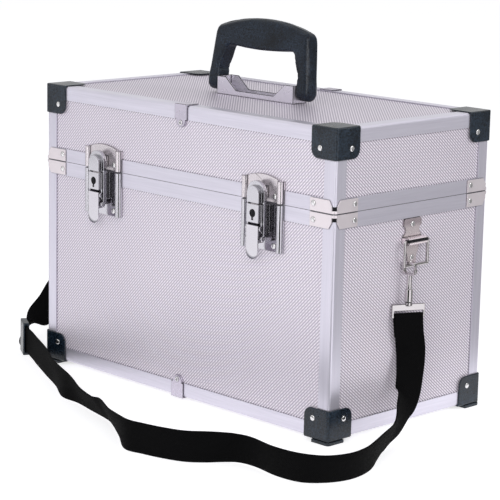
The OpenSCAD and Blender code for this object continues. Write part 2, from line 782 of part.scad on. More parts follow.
// The bail is its front outline cut by its side outline, with a round ended ear at each end.
module handle() {
    top = handle_z + handle_rise;
    grip_high = 29;
    grip_low = top - grip_high;
    leg_low = handle_z + 6;
    ear_face = ear_x + ear_t;
    color(black) translate([0, 0, handle_z]) rotate([-handle_lean, 0, 0]) translate([0, 0, -handle_z])
    difference() {
        union() {
            intersection() {
                translate([0, handle_depth, 0]) rotate([90, 0, 0]) linear_extrude(2 * handle_depth)
                    handle_outline(top, grip_low, leg_low, ear_face);
                rotate([90, 0, 90]) translate([0, 0, -case_w]) linear_extrude(2 * case_w)
                    side_outline(top, grip_low, leg_low);
            }
            for (s = [-1, 1]) on_side(s) {
                translate([ear_x, 0, handle_z - ear_drop]) rotate([0, 90, 0]) cylinder(h = ear_t, r = ear_r);
                span_box([ear_x, -ear_r, handle_z - ear_drop], [ear_face, ear_r, leg_low + 2]);
            }
        }
        translate([-ear_x - pin_deep - move_gap, 0, handle_z]) rotate([0, 90, 0])
            cylinder(h = 2 * (ear_x + pin_deep + move_gap), r = handle_pin_r + run_gap);
    }
}

// A shallow arch of a given rise over a span, as the part of a large circle above its chord.
module arch(half, rise) {
    r = (half * half + rise * rise) / (2 * rise);
    intersection() {
        translate([0, rise - r]) circle(r, $fn = 360);
        translate([-half, 0]) square([2 * half, rise]);
    }
}

// The crest and the underside of the grip are shallow arches, and a circle that stands hardly proud of the
// crest and the leg rounds each shoulder. Inside the leg a step leaves the ear wider.
module handle_outline(top, grip_low, leg_low, ear_face) {
    shoulder = 8;
    crest = 54;
    droop = 8.1;
    belly = 2.2;
    chamfer = 3;
    crest_r = (crest * crest + droop * droop) / (2 * droop);
    proud = 0.15;
    shoulder_x = crest * (1 - shoulder / crest_r);
    shoulder_z = top - droop - shoulder * (crest_r - droop) / crest_r + proud;
    leg_x = shoulder_x + shoulder - 0.4;
    leg_z = shoulder_z + 1.5;
    hand_top = 43.6;
    hand_low = 51.6;
    step = handle_z + norm([bracket_half_d, lug_up]) + move_gap;
    difference() {
        union() {
            polygon([[-ear_face, leg_low], [-leg_x, leg_z], [-crest, top - droop],
                [crest, top - droop], [leg_x, leg_z], [ear_face, leg_low]]);
            for (s = [-1, 1]) translate([s * shoulder_x, shoulder_z]) circle(shoulder);
            translate([0, top - droop]) arch(crest, droop);
        }
        difference() {
            polygon([[-ear_x, leg_low - 1], [-ear_x, step - 2], [-hand_low, step], [-hand_top, grip_low],
                [-hand_top + chamfer, grip_low + belly], [hand_top - chamfer, grip_low + belly],
                [hand_top, grip_low], [hand_low, step], [ear_x, step - 2], [ear_x, leg_low - 1]]);
            translate([0, grip_low + belly]) mirror([0, 1]) arch(hand_top - 2 * chamfer, belly);
        }
    }
}

module side_outline(top, grip_low, leg_low) {
    crown = handle_depth / 2 - 1;
    flat_rise = 0.3;
    crown_z = top + flat_rise - crown;
    full = grip_low + 8;
    translate([0, crown_z]) circle(crown);
    polygon([[-handle_depth / 2, leg_low], [-handle_depth / 2, full], [-crown, crown_z],
        [crown, crown_z], [handle_depth / 2, full], [handle_depth / 2, leg_low]]);
}

// Strap brackets, rings, snap hooks and eyes, drawn on the right side

module strap_bracket() {
    knuckle_len = 24.6;
    upper_w = 23.3;
    waist = 18;
    lower_w = 12;
    corner = 3;
    top = base_rim_low - 0.2;
    waist_z = ring_z + 9;
    neck_z = ring_z - 14.5;
    low = ring_z - ring_drop - 0.6;
    block = [-2.4, 3.2];
    difference() {
        union() {
            translate([side_face, 0, 0]) rotate([90, 0, 90]) linear_extrude(bracket_t) difference() {
                union() {
                    translate([-upper_w / 2, ring_z]) square([upper_w, top - corner - ring_z]);
                    translate([corner - upper_w / 2, ring_z]) square([upper_w - 2 * corner, top - ring_z]);
                    for (side = [-1, 1]) translate([side * (upper_w / 2 - corner), top - corner])
                        circle(corner);
                    polygon([[-upper_w / 2, ring_z + 1], [-lower_w / 2, neck_z], [-lower_w / 2, low],
                        [lower_w / 2, low], [lower_w / 2, neck_z], [upper_w / 2, ring_z + 1]]);
                }
                for (side = [-1, 1]) translate([side * (waist / 2 + 4), waist_z]) circle(4);
            }
            span_box([side_face, -knuckle_len / 2, ring_z + block[0]],
                [ring_x, knuckle_len / 2, ring_z + block[1]]);
            translate([ring_x, -knuckle_len / 2, ring_z]) rotate([-90, 0, 0])
                cylinder(h = knuckle_len, r = ring_wire_r + 1.7);
        }
        translate([ring_x, -knuckle_len, ring_z]) rotate([-90, 0, 0])
            cylinder(h = 2 * knuckle_len, r = ring_wire_r + run_gap);
    }
}

module strap_brackets() {
    color(nickel) for (s = [-1, 1]) on_side(s) strap_bracket();
}

module wire_ring() {
    for (z = [0, -ring_drop]) translate([0, -ring_half, z]) rotate([-90, 0, 0])
        cylinder(h = 2 * ring_half, r = ring_wire_r);
    for (side = [-1, 1]) translate([0, side * ring_half, -ring_drop])
        cylinder(h = ring_drop, r = ring_wire_r);
    for (side = [-1, 1], z = [0, -ring_drop]) translate([0, side * ring_half, z]) sphere(ring_wire_r);
}

module ring_left() { color(nickel) on_side(-1) translate([ring_x, 0, ring_z]) wire_ring(); }
module ring_right() { color(nickel) on_side(1) translate([ring_x, 0, ring_z]) wire_ring(); }

module loop_shape(half, high, r) {
    for (x = [-1, 1], z = [-1, 1]) translate([x * (half - r), z * (high - r)]) circle(r);
    translate([r - half, -high]) square([2 * (half - r), 2 * high]);
    translate([-half, r - high]) square([2 * half, 2 * (high - r)]);
}

loop_half = 5.2;
loop_r = 2;
gate_x = loop_half + hook_wire / 2;
gate_low = -2.5;
gate_high = 2.7;
gate_pin_r = 0.7;

swivel_r = 1.3;
swivel_head_r = 2.2;
housing = 11;

module hook_body() {
    loop_t = 4;
    shank_r = 2.4;
    difference() {
        union() {
            translate([0, loop_t / 2, hook_z]) rotate([90, 0, 0]) linear_extrude(loop_t) difference() {
                loop_shape(loop_half + hook_wire, hook_top_r + hook_wire, loop_r + hook_wire);
                loop_shape(loop_half, hook_top_r, loop_r);
                translate([loop_half - 1, gate_low + 1.6])
                    square([5, gate_high + 0.3 - gate_low - 1.6]);
            }
            translate([0, 0, barrel_low]) cylinder(h = housing, r = barrel_r);
            translate([0, 0, barrel_low + housing - 1])
                cylinder(h = hook_z - hook_top_r - 0.6 - barrel_low - housing + 1, r = shank_r);
        }
        translate([loop_half - 1.2, -1.4, hook_z + gate_low - 1.6]) cube([6, 2.8, 3.3]);
        translate([0, 0, barrel_low - 1]) cylinder(h = 9, r = swivel_r + run_gap);
        translate([0, 0, barrel_low + 6]) cylinder(h = 3.4, r = swivel_head_r + 0.2);
    }
    translate([gate_x, 2, hook_z + gate_low]) rotate([90, 0, 0]) cylinder(h = 4, r = gate_pin_r);
}

module gate_body() {
    difference() {
        union() {
            translate([gate_x, 1.1, hook_z + gate_low]) rotate([90, 0, 0])
                cylinder(h = 2.2, r = gate_pin_r + 0.6);
            span_box([gate_x - 0.9, -1.1, hook_z + gate_low], [gate_x + 0.9, 1.1, hook_z + gate_high]);
        }
        translate([gate_x, 3, hook_z + gate_low]) rotate([90, 0, 0])
            cylinder(h = 6, r = gate_pin_r + run_gap);
    }
}

module eye_body() {
    outer = strap_w + 3.8;
    inner = strap_w + 0.6;
    t = 2.4;
    rotate(-eye_turn) difference() {
        span_box([-t / 2, -outer / 2, strap_top], [t / 2, outer / 2, eye_top]);
        span_box([-t, -inner / 2, strap_top + eye_bar], [t, inner / 2, strap_top + eye_bar + eye_slot]);
    }
    translate([0, 0, eye_top - 1.5]) cylinder(h = 3, r = 3);
    translate([0, 0, eye_top]) cylinder(h = barrel_low + 6.8 - eye_top, r = swivel_r);
    translate([0, 0, barrel_low + 6.6]) cylinder(h = 2.2, r = swivel_head_r);
}

module hook_left() { color(nickel) on_side(-1) translate([hook_x, -hook_slide, 0]) hook_body(); }
module hook_right() { color(nickel) on_side(1) translate([hook_x, -hook_slide, 0]) hook_body(); }
module gate_left() { color(nickel) on_side(-1) translate([hook_x, -hook_slide, 0]) gate_body(); }
module gate_right() { color(nickel) on_side(1) translate([hook_x, -hook_slide, 0]) gate_body(); }
module strap_eye_left() { color(nickel) on_side(-1) translate([hook_x, -hook_slide, 0]) eye_body(); }
module strap_eye_right() { color(nickel) on_side(1) translate([hook_x, -hook_slide, 0]) eye_body(); }

// The strap is one ribbon swept along a smooth curve through the points of the route.

steps = 2;
floor_gap = 0.2;
last = len(route) - 1;

function unit(v) = v / norm(v);
function flow(a, b, c, d, t) = 0.5 * (2 * b + (c - a) * t + (2 * a - 5 * b + 4 * c - d) * t * t
    + (3 * b - a - 3 * c + d) * t * t * t);
function pick(n) = route[max(0, min(last, n))];
function spot(u) = let (n = min(last - 1, floor(u)))
    flow(pick(n - 1), pick(n), pick(n + 1), pick(n + 2), u - n);
function place(u) = let (p = spot(u)) [p[0], p[1], p[2]];
function ahead(u) = unit(place(min(last, u + 0.02)) - place(max(0, u - 0.02)));
function across(u) = let (p = spot(u), w = [p[3], p[4], p[5]], f = ahead(u)) unit(w - (w * f) * f);
// Where the webbing would dip below the floor, it is raised until its lower edge rests there.
function low_reach(u) = strap_w / 2 * abs(across(u)[2]) + strap_t / 2 + floor_gap;
function middle(u) = let (p = place(u)) [p[0], p[1], max(p[2], low_reach(u))];
function band(u) =
    let (c = middle(u), w = across(u), n = cross(ahead(u), w), a = strap_w / 2, b = strap_t / 2)
    [for (q = [[a, 0.6 * b], [a - b, b], [b - a, b], [-a, 0.6 * b], [-a, -0.6 * b], [b - a, -b],
        [a - b, -b], [a, -0.6 * b]]) c + q[0] * w + q[1] * n];

module strap() {
    rings = steps * last;
    sides = 8;
    points = [for (k = [0:rings]) each band(k / steps)];
    faces = concat([[for (m = [0:sides - 1]) m]], [[for (m = [sides - 1:-1:0]) rings * sides + m]],
        [for (k = [0:rings - 1], m = [0:sides - 1])
            let (a = k * sides + m, b = k * sides + (m + 1) % sides)
                each [[a, a + sides, b], [b, a + sides, b + sides]]]);
    color(black) polyhedron(points = points, faces = faces);
}

slider_at = 33;

module strap_slider() {
    c = middle(slider_at);
    f = ahead(slider_at);
    w = across(slider_at);
    n = cross(f, w);
    len = 18;
    wall = 3;
    slack = 0.3;
    color(black) multmatrix([[f[0], w[0], n[0], c[0]], [f[1], w[1], n[1], c[1]], [f[2], w[2], n[2], c[2]]])
        difference() {
            span_box([-len / 2, -strap_w / 2 - wall, -3], [len / 2, strap_w / 2 + wall, 3]);
            span_box([-len, -strap_w / 2 - slack, -strap_t / 2 - slack],
                [len, strap_w / 2 + slack, strap_t / 2 + slack]);
        }
}

base_front_panel();
base_back_panel();
base_left_panel();
base_right_panel();
base_bottom_panel();
base_uprights();
base_bottom_profiles();
base_rim();
base_seam_plates();
base_clips();
base_rivets();
base_lining();
cap_base_front_left();
cap_base_front_right();
cap_base_back_right();
cap_base_back_left();
hinge_base_leaves();
hinge_pins();
latch_bases();
latch_pins();
strap_brackets();
strap_eye_left();
strap_eye_right();
strap();
strap_slider();
lid_front_panel();
lid_back_panel();
lid_left_panel();
lid_right_panel();
lid_top_panel();
lid_uprights();
lid_top_profiles();
lid_rim();
lid_seam_plates();
lid_clips();
lid_rivets();
lid_lining();
cap_lid_front_left();
cap_lid_front_right();
cap_lid_back_right();
cap_lid_back_left();
hinge_lid_leaves();
keepers();
handle_bracket();
handle_pins();
handle();
lever_left();
lever_right();
claw_left();
claw_right();
lock_left();
lock_right();
ring_left();
ring_right();
hook_left();
hook_right();
gate_left();
gate_right();
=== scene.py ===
import json
import math

import bmesh
import bpy
from mathutils import Matrix, Vector


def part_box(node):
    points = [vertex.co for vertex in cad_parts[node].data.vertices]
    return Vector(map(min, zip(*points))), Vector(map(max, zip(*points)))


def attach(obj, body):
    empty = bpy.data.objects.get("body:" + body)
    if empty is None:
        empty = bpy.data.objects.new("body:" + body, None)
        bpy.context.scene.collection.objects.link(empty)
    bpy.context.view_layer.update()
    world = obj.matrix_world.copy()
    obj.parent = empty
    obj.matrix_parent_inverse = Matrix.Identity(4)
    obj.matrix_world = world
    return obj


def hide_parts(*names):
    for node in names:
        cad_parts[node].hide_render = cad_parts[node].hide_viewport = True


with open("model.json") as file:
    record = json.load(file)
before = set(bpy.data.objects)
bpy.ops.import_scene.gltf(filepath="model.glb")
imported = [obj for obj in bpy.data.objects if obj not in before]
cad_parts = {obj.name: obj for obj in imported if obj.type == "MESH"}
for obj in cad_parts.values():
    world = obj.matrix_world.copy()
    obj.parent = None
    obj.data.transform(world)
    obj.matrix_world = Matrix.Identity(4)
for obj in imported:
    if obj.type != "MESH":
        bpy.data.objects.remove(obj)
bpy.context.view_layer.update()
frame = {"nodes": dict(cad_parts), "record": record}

nodes = frame["nodes"]

# Camera and studio
# The camera stands to the right in front of the case, a little above it, with a long lens. The floor and
# the surroundings are white, two large soft lamps light the front more than the right side, and dark and
# grey curtains that only reflections show give the bright metal its contrast.
mm = 0.001
sensor_width, focal_length = 36, 143.44
room_light, mirror_white, floor_glow = 0.56, 0.8, 0.66
eye_point = Vector((1.292308, -1.284594, 0.497248))
yaw, pitch, roll = math.radians(45.403), math.radians(11.496), math.radians(-1.217)
forward = Vector((-math.sin(yaw) * math.cos(pitch), math.cos(yaw) * math.cos(pitch), -math.sin(pitch)))
level = Vector((math.cos(yaw), math.sin(yaw), 0))
down = forward.cross(level)
right = level * math.cos(roll) + down * math.sin(roll)
down = down * math.cos(roll) - level * math.sin(roll)
camera = bpy.data.objects.new("camera", bpy.data.cameras.new("camera"))
camera.data.sensor_width = sensor_width
camera.data.lens = focal_length
camera.data.clip_end = 50
camera.matrix_world = Matrix.Translation(eye_point) @ Matrix((right, -down, -forward)).transposed().to_4x4()
bpy.context.collection.objects.link(camera)
bpy.context.scene.camera = camera
bpy.context.scene.view_settings.view_transform = "Standard"


def shader_nodes(material):
    material.use_nodes = True
    material.node_tree.nodes.clear()
    return material.node_tree


def feed(tree, socket, value):
    """Gives a socket a plain value, or links it to the output of another node."""
    if hasattr(value, "is_output"):
        tree.links.new(value, socket)
    else:
        socket.default_value = value


def math_node(tree, operation, *values):
    node = tree.nodes.new("ShaderNodeMath")
    node.operation = operation
    for k, value in enumerate(values):
        feed(tree, node.inputs[k], value)
    return node.outputs[0]


def studio_rays(tree):
    """One where the camera or a mirror looks, and nothing where light falls."""
    path = tree.nodes.new("ShaderNodeLightPath")
    return math_node(tree, "MAXIMUM", path.outputs["Is Camera Ray"], path.outputs["Is Glossy Ray"])


world = bpy.data.worlds.new("studio")
bpy.context.scene.world = world
tree = shader_nodes(world)
surround = tree.nodes.new("ShaderNodeBackground")
surround.inputs["Color"].default_value = (0.95, 0.95, 1, 1)
surround.inputs["Strength"].default_value = room_light
white = tree.nodes.new("ShaderNodeBackground")
white.inputs["Color"].default_value = (1, 1, 1, 1)
path = tree.nodes.new("ShaderNodeLightPath")
tree.links.new(math_node(tree, "MULTIPLY_ADD", path.outputs["Is Camera Ray"], 1 - mirror_white, mirror_white),
               white.inputs["Strength"])
mix = tree.nodes.new("ShaderNodeMixShader")
out = tree.nodes.new("ShaderNodeOutputWorld")
tree.links.new(studio_rays(tree), mix.inputs[0])
tree.links.new(surround.outputs[0], mix.inputs[1])
tree.links.new(white.outputs[0], mix.inputs[2])
tree.links.new(mix.outputs[0], out.inputs[0])

floor = bpy.data.meshes.new("floor")
floor.from_pydata([(-6, -6, 0), (6, -6, 0), (6, 6, 0), (-6, 6, 0)], [], [(0, 1, 2, 3)])
floor = bpy.data.objects.new("floor", floor)
bpy.context.collection.objects.link(floor)
paper = bpy.data.materials.new("studio_floor")
tree = shader_nodes(paper)
matt = tree.nodes.new("ShaderNodeBsdfDiffuse")
matt.inputs["Color"].default_value = (0.62, 0.62, 0.63, 1)
glow = tree.nodes.new("ShaderNodeEmission")
glow.inputs["Strength"].default_value = floor_glow
lit = tree.nodes.new("ShaderNodeAddShader")
mix = tree.nodes.new("ShaderNodeMixShader")
out = tree.nodes.new("ShaderNodeOutputMaterial")
tree.links.new(matt.outputs[0], lit.inputs[0])
tree.links.new(glow.outputs[0], lit.inputs[1])
tree.links.new(studio_rays(tree), mix.inputs[0])
tree.links.new(matt.outputs[0], mix.inputs[1])
tree.links.new(lit.outputs[0], mix.inputs[2])
tree.links.new(mix.outputs[0], out.inputs[0])
floor.data.materials.append(paper)

case_middle = Vector((0, 0, 0.15))
for name, place, width, power in (("front_lamp", (1.5, -2.0, 0.95), 1.5, 45),
                                  ("side_lamp", (2.1, 1.0, 1.15), 1.2, 14.5)):
    lamp = bpy.data.objects.new(name, bpy.data.lights.new(name, "AREA"))
    lamp.data.size = width
    lamp.data.energy = power
    aim = Vector(place) - case_middle
    lamp.matrix_world = Matrix.Translation(place) @ aim.to_track_quat("Z", "Y").to_matrix().to_4x4()
    bpy.context.collection.objects.link(lamp)


def curtain(name, start, stop, near, far, foot, high, brightness):
    """Part of a ring round the case between two directions in degrees: on the floor, then up a wall."""
    count, on_floor = 8, 0.5 * mm
    rows = [(near, on_floor), (far, on_floor)] if foot == 0 else []
    rows += [(far, max(foot, mm)), (far, high)]
    turns = [math.radians(start + (stop - start) * k / count) for k in range(count + 1)]
    verts = [(r * math.cos(t), r * math.sin(t), z) for r, z in rows for t in turns]
    wide = count + 1
    faces = [(j * wide + k, j * wide + k + 1, (j + 1) * wide + k + 1, (j + 1) * wide + k)
             for j in range(len(rows) - 1) for k in range(count)]
    mesh = bpy.data.meshes.new(name)
    mesh.from_pydata(verts, [], faces)
    cloth = bpy.data.materials.new(name)
    tree = shader_nodes(cloth)
    shine = tree.nodes.new("ShaderNodeEmission")
    shine.inputs["Strength"].default_value = brightness
    out = tree.nodes.new("ShaderNodeOutputMaterial")
    tree.links.new(shine.outputs[0], out.inputs[0])
    mesh.materials.append(cloth)
    screen = bpy.data.objects.new(name, mesh)
    bpy.context.collection.objects.link(screen)
    screen.visible_camera = screen.visible_diffuse = screen.visible_transmission = False
    screen.visible_shadow = screen.visible_volume_scatter = False


for name, start, stop, near, far, foot, high, brightness in (
        ("curtain_behind_camera", -64, -26, 0.36, 2.2, 0, 1.6, 0.02),
        ("curtain_right", 12, 80, 0.36, 2.4, 0, 1.0, 0.32),
        ("curtain_left_strip", -176, -160, 0.36, 2.4, 0, 1.4, 0.05),
        ("curtain_front_strip", -104, -97, 0.6, 2.4, 0, 1.4, 0.05),
        ("curtain_far_strip", 131, 139, 2, 2, 0.6, 0.8, 0.03),
        ("curtain_right_high", 30, 62, 2.4, 2.4, 0.95, 1.7, 0.02),
        ("curtain_front_floor", -146, -124, 1.7, 2.4, 0, 0.01, 0.12)):
    curtain(name, start, stop, near, far, foot, high, brightness)


# Shoulder strap
# Black polypropylene webbing, 27 mm wide, woven flat. Each end goes round the bar of its eye and is sewn
# back on itself behind. It hangs from both sides and lies on edge on the floor in front of the case.
strap_w, strap_t, floor_gap = 27, 1.6, 0.2
hook_x, hook_y = 195.6, -10
eye_turn = math.radians(25)
bar_z, bar_wrap, fold_up = 101.2, 2.2, 1.1
fold_gap, fold_flare, bulge_end = 1.75, 0.4, 1.5
# The steps of the fold, of the wrap and of each stretch of the route. The strap itself starts past the wrap.
fold_steps, wrap_steps, per_point = 14, 12, 8
past_wrap, beside = 3, 0.02
# Each row is a point of the middle line, then the way across the webbing there.
route = [
    [196, -10, 100, -0.42, -0.91, 0], [197, -9, 86, -0.45, -0.9, 0], [197, -6, 68, -0.5, -0.85, 0.1],
    [200, -10, 47, -0.35, -0.9, 0.3], [203, -16, 33, -0.3, -0.7, 0.6], [210, -28, 27, -0.1, -0.4, 0.9],
    [218, -43, 20, 0.1, -0.3, 0.95], [228, -61, 16, 0.3, 0, 0.95], [237, -79, 13, 0.35, 0.1, 0.95],
    [248, -99, 13, 0.25, 0.1, 0.95], [260, -121, 13, 0.2, 0, 0.98], [267, -142, 13, 0.25, 0, 0.95],
    [267, -161, 13, 0.3, -0.1, 0.95], [259, -179, 13, 0.25, -0.2, 0.95], [244, -191, 13, 0.1, -0.2, 1],
    [220, -194, 13, 0, -0.2, 1], [192, -190, 13, 0, -0.2, 1], [176, -192, 13, 0.1, -0.2, 1],
    [167, -199, 13, 0.1, -0.1, 1], [156, -211, 13, 0, 0, 1], [144, -222, 13, 0, 0, 1],
    [127, -229, 13, 0, 0, 1], [106, -234, 13, 0, 0, 1], [85, -236, 13, 0, 0, 1],
    [53, -220, 13, -0.2, -0.3, 0.95], [21, -202, 12, -0.2, -0.4, 0.9], [5, -197, 12, -0.2, -0.5, 0.8],
    [-21, -190, 12, -0.1, -0.5, 0.9], [-47, -181, 13, 0, -0.3, 0.95], [-72, -175, 13, 0, 0, 1],
    [-105, -158, 13, -0.1, -0.1, 1], [-143, -138, 13, 0, 0, 1], [-190, -115, 15, 0, 0, 1],
    [-222, -101, 17, 0, 0, 1], [-239, -88, 19, 0.3, 0.3, 0.85], [-240, -73, 27, 0.6, 0.6, 0.3],
    [-234, -60, 42, 0.7, 0.6, -0.2], [-227, -49, 62, 0.6, 0.7, -0.4], [-214, -32, 78, 0.2, 0.9, -0.3],
    [-201, -15, 90, -0.35, 0.9, -0.1], [-196, -10, 100, -0.42, 0.91, 0]]
last = len(route) - 1


def smooth(a, b, c, d, t):
    """The value at the share t of the way from b to c, on a curve that heeds a before and d after them."""
    return 0.5 * (2 * b + (c - a) * t + (2 * a - 5 * b + 4 * c - d) * t * t
                  + (3 * b - a - 3 * c + d) * t ** 3)


def along(u):
    """The point of the route at u, with its direction across."""
    n = min(last - 1, int(u))
    rows = [route[max(0, min(last, n + k))] for k in (-1, 0, 1, 2)]
    return [smooth(*values, u - n) for values in zip(*rows)]


def station(u):
    """Middle, way ahead and way across of the webbing at u. Its lower edge never dips below the floor."""
    spot = along(u)
    after, before = along(min(last, u + beside)), along(max(0, u - beside))
    ahead = (Vector(after[:3]) - Vector(before[:3])).normalized()
    across = Vector(spot[3:])
    across = (across - across.dot(ahead) * ahead).normalized()
    middle = Vector(spot[:3])
    middle.z = max(middle.z, strap_w / 2 * abs(across.z) + strap_t / 2 + floor_gap)
    return middle, ahead, across


def strap_end(side):
    """Middles and ways across of the sewn fold and its turn round the bar, from its cut end to the strap."""
    away = Vector((side * math.cos(eye_turn), -math.sin(eye_turn), 0))
    bar = Vector((side * hook_x, hook_y, bar_z))
    width = Vector((-math.sin(eye_turn), -side * math.cos(eye_turn), 0))
    rows = []
    for k in range(fold_steps):
        u = fold_up * (1 - k / fold_steps)
        middle, ahead, across = station(u if side > 0 else last - u)
        face = ahead.cross(across)
        face = face if face.dot(away) > 0 else -face
        rows.append((middle - face * (fold_gap + fold_flare * (k / fold_steps) ** 4), across))
    for k in range(wrap_steps + 1):
        turn = math.pi * (1 - k / wrap_steps)
        lift = Vector((0, 0, bar_wrap * math.sin(turn)))
        rows.append((bar + away * bar_wrap * math.cos(turn) + lift, width))
    return rows


def strap_rows():
    """Middles and ways across from one cut end to the other. The strap bulges a little near its bars."""
    rows = strap_end(1)
    for k in range(past_wrap, last * per_point + 1 - past_wrap):
        middle, ahead, across = station(k / per_point)
        face = ahead.cross(across)
        for side, u in ((1, k / per_point), (-1, last - k / per_point)):
            if u < bulge_end:
                away = Vector((side * math.cos(eye_turn), -math.sin(eye_turn), 0))
                face = face if face.dot(away) > 0 else -face
                middle = middle + face * bar_wrap * (1 - u / bulge_end) ** 2
        rows.append((middle, across))
    return rows + strap_end(-1)[::-1]


def tube_faces(rows, count):
    """Faces of a tube of rows with count points each, closed at both ends."""
    top = (rows - 1) * count
    faces = [(j + k, j + (k + 1) % count, j + count + (k + 1) % count, j + count + k)
             for j in range(0, top, count) for k in range(count)]
    return faces + [tuple(range(count))[::-1], tuple(range(top, top + count))]


def strap_mesh():
    """A ribbon with soft edges. Its UV map runs in millimetres: across, and along."""
    half, thick = strap_w / 2, strap_t / 2
    outline = [(half - 0.1, 0), (half - 0.25, 0.55), (half - 0.9, 0.92), (half - 2, 1), (0, 1)]
    outline += [(-x, y) for x, y in outline[3::-1]]
    outline += [(-x, -y) for x, y in outline[1:-1]]
    rows = strap_rows()
    run, verts, lengths = 0.0, [], []
    for k, (middle, across) in enumerate(rows):
        before, after = rows[max(0, k - 1)][0], rows[min(len(rows) - 1, k + 1)][0]
        ahead = (after - before).normalized()
        across = (across - across.dot(ahead) * ahead).normalized()
        face = ahead.cross(across)
        run += (middle - before).length if k else 0
        lengths.append(run)
        verts += [(middle + across * x + face * y * thick) * mm for x, y in outline]
    mesh = bpy.data.meshes.new("strap_webbing")
    count = len(outline)
    mesh.from_pydata(verts, [], tube_faces(len(rows), count))
    cloth_map = mesh.uv_layers.new(name="cloth")
    for polygon in mesh.polygons:
        for loop in polygon.loop_indices:
            k, j = divmod(mesh.loops[loop].vertex_index, count)
            cloth_map.data[loop].uv = (outline[j][0], lengths[k])
        polygon.use_smooth = True
    return mesh


def new_group(name, inputs, outputs):
    """A shader node group with named sockets. Three numbers make an input a vector, and four a colour."""
    group = bpy.data.node_groups.new(name, "ShaderNodeTree")
    for label, value in inputs.items():
        kind = {1: "Float", 3: "Vector", 4: "Color"}[len(value) if type(value) is tuple else 1]
        socket = group.interface.new_socket(name=label, in_out="INPUT", socket_type="NodeSocket" + kind)
        socket.default_value = value
    for label in outputs:
        kind = "Color" if label == "Color" else "Float"
        group.interface.new_socket(name=label, in_out="OUTPUT", socket_type="NodeSocket" + kind)
    return group, group.nodes.new("NodeGroupInput").outputs, group.nodes.new("NodeGroupOutput").inputs


def axes(tree, vector):
    """The three coordinates of a vector."""
    split = tree.nodes.new("ShaderNodeSeparateXYZ")
    tree.links.new(vector, split.inputs[0])
    return split.outputs


def principled(name, colour, rough, metal=0.0, **sockets):
    """A material with one glossy shader. Returns the material, its tree and the shader."""
    material = bpy.data.materials.new(name)
    tree = shader_nodes(material)
    shader = tree.nodes.new("ShaderNodeBsdfPrincipled")
    out = tree.nodes.new("ShaderNodeOutputMaterial")
    tree.links.new(shader.outputs[0], out.inputs[0])
    shader.inputs["Base Color"].default_value = (*colour, 1)
    shader.inputs["Roughness"].default_value = rough
    shader.inputs["Metallic"].default_value = metal
    for label, value in sockets.items():
        shader.inputs[label.replace("_", " ")].default_value = value
    return material, tree, shader


def bump(tree, shader, height, distance, strength=1.0):
    node = tree.nodes.new("ShaderNodeBump")
    node.inputs["Strength"].default_value = strength
    node.inputs["Distance"].default_value = distance
    tree.links.new(height, node.inputs["Height"])
    tree.links.new(node.outputs[0], shader.inputs["Normal"])


def woven_group():
    """Plain weave on a cloth map in millimetres: ribs across, broken by the warp threads."""
    group, given, result = new_group(
        "woven", {"Cloth": (0, 0, 0), "Pick": 1.5, "Warp": 1.0}, ("Height", "Thread"))
    cloth_x, cloth_y, _ = axes(group, given["Cloth"])
    across = math_node(group, "DIVIDE", cloth_x, given["Warp"])
    run = math_node(group, "DIVIDE", cloth_y, given["Pick"])
    shift = math_node(group, "MULTIPLY", math_node(group, "FLOOR", across), 0.5)
    turn = math_node(group, "MULTIPLY", math_node(group, "ADD", run, shift), 2 * math.pi)
    wave = math_node(group, "SINE", turn)
    side = math_node(group, "SUBTRACT", math_node(group, "FRACT", across), 0.5)
    square = math_node(group, "MULTIPLY", side, side)
    round_side = math_node(group, "SUBTRACT", 1, math_node(group, "MULTIPLY", square, 4))
    height = math_node(group, "MULTIPLY", math_node(group, "ADD", wave, 1.4), round_side)
    group.links.new(height, result["Height"])
    group.links.new(math_node(group, "MULTIPLY", height, 0.42), result["Thread"])
    return group


woven = woven_group()


def placed(tree, group, **values):
    """The outputs of a node group placed in a material with these values."""
    node = tree.nodes.new("ShaderNodeGroup")
    node.node_tree = group
    for label, value in values.items():
        feed(tree, node.inputs[label], value)
    return node.outputs


def mixed(tree, factor, first, second, blend="MIX"):
    """A mix of two colours, each given plainly or as the output of a node."""
    mix = tree.nodes.new("ShaderNodeMix")
    mix.data_type, mix.blend_type = "RGBA", blend
    tree.links.new(factor, mix.inputs["Factor"])
    for label, colour in (("A", first), ("B", second)):
        feed(tree, mix.inputs[label], (*colour, 1) if type(colour) is tuple else colour)
    return mix.outputs["Result"]


def two_colours(tree, shader, factor, dark, light):
    tree.links.new(mixed(tree, factor, dark, light), shader.inputs["Base Color"])


webbing, tree, shader = principled("black_webbing", (0.003, 0.003, 0.003), 0.85, Specular_IOR_Level=0.06)
uv = tree.nodes.new("ShaderNodeUVMap")
uv.uv_map = "cloth"
weave = placed(tree, woven, Cloth=uv.outputs[0])
two_colours(tree, shader, weave["Thread"], (0.0008, 0.0008, 0.001), (0.0042, 0.0042, 0.0046))
bump(tree, shader, weave["Height"], 0.25 * mm)

strap = bpy.data.objects.new("strap_webbing", strap_mesh())
bpy.context.collection.objects.link(strap)
strap.data.materials.append(webbing)
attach(strap, "base")
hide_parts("strap")
centre = [station(k / per_point)[0] * mm for k in range(last * per_point + 1)]


# Strap slider
# A buckle that sets the length of the strap, moulded in black plastic with rounded edges. The webbing runs
# through its slot, and it lies on the floor beside the left front corner of the case.
home = {node: body for body, members in frame["record"]["behaviour"]["bodies"].items() for node in members}


def new_piece(name, mesh, finishes, body, *replaced):
    piece = bpy.data.objects.new(name, mesh)
    bpy.context.collection.objects.link(piece)
    mesh.materials.clear()
    for finish in finishes:
        mesh.materials.append(finish)
    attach(piece, body)
    if replaced:
        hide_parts(*replaced)
    return piece


def applied(piece):
    """The mesh of a piece with its modifiers applied, which are then removed."""
    bpy.context.view_layer.update()
    mesh = bpy.data.meshes.new_from_object(piece.evaluated_get(bpy.context.evaluated_depsgraph_get()))
    piece.modifiers.clear()
    old, piece.data = piece.data, mesh
    bpy.data.meshes.remove(old)
    return piece


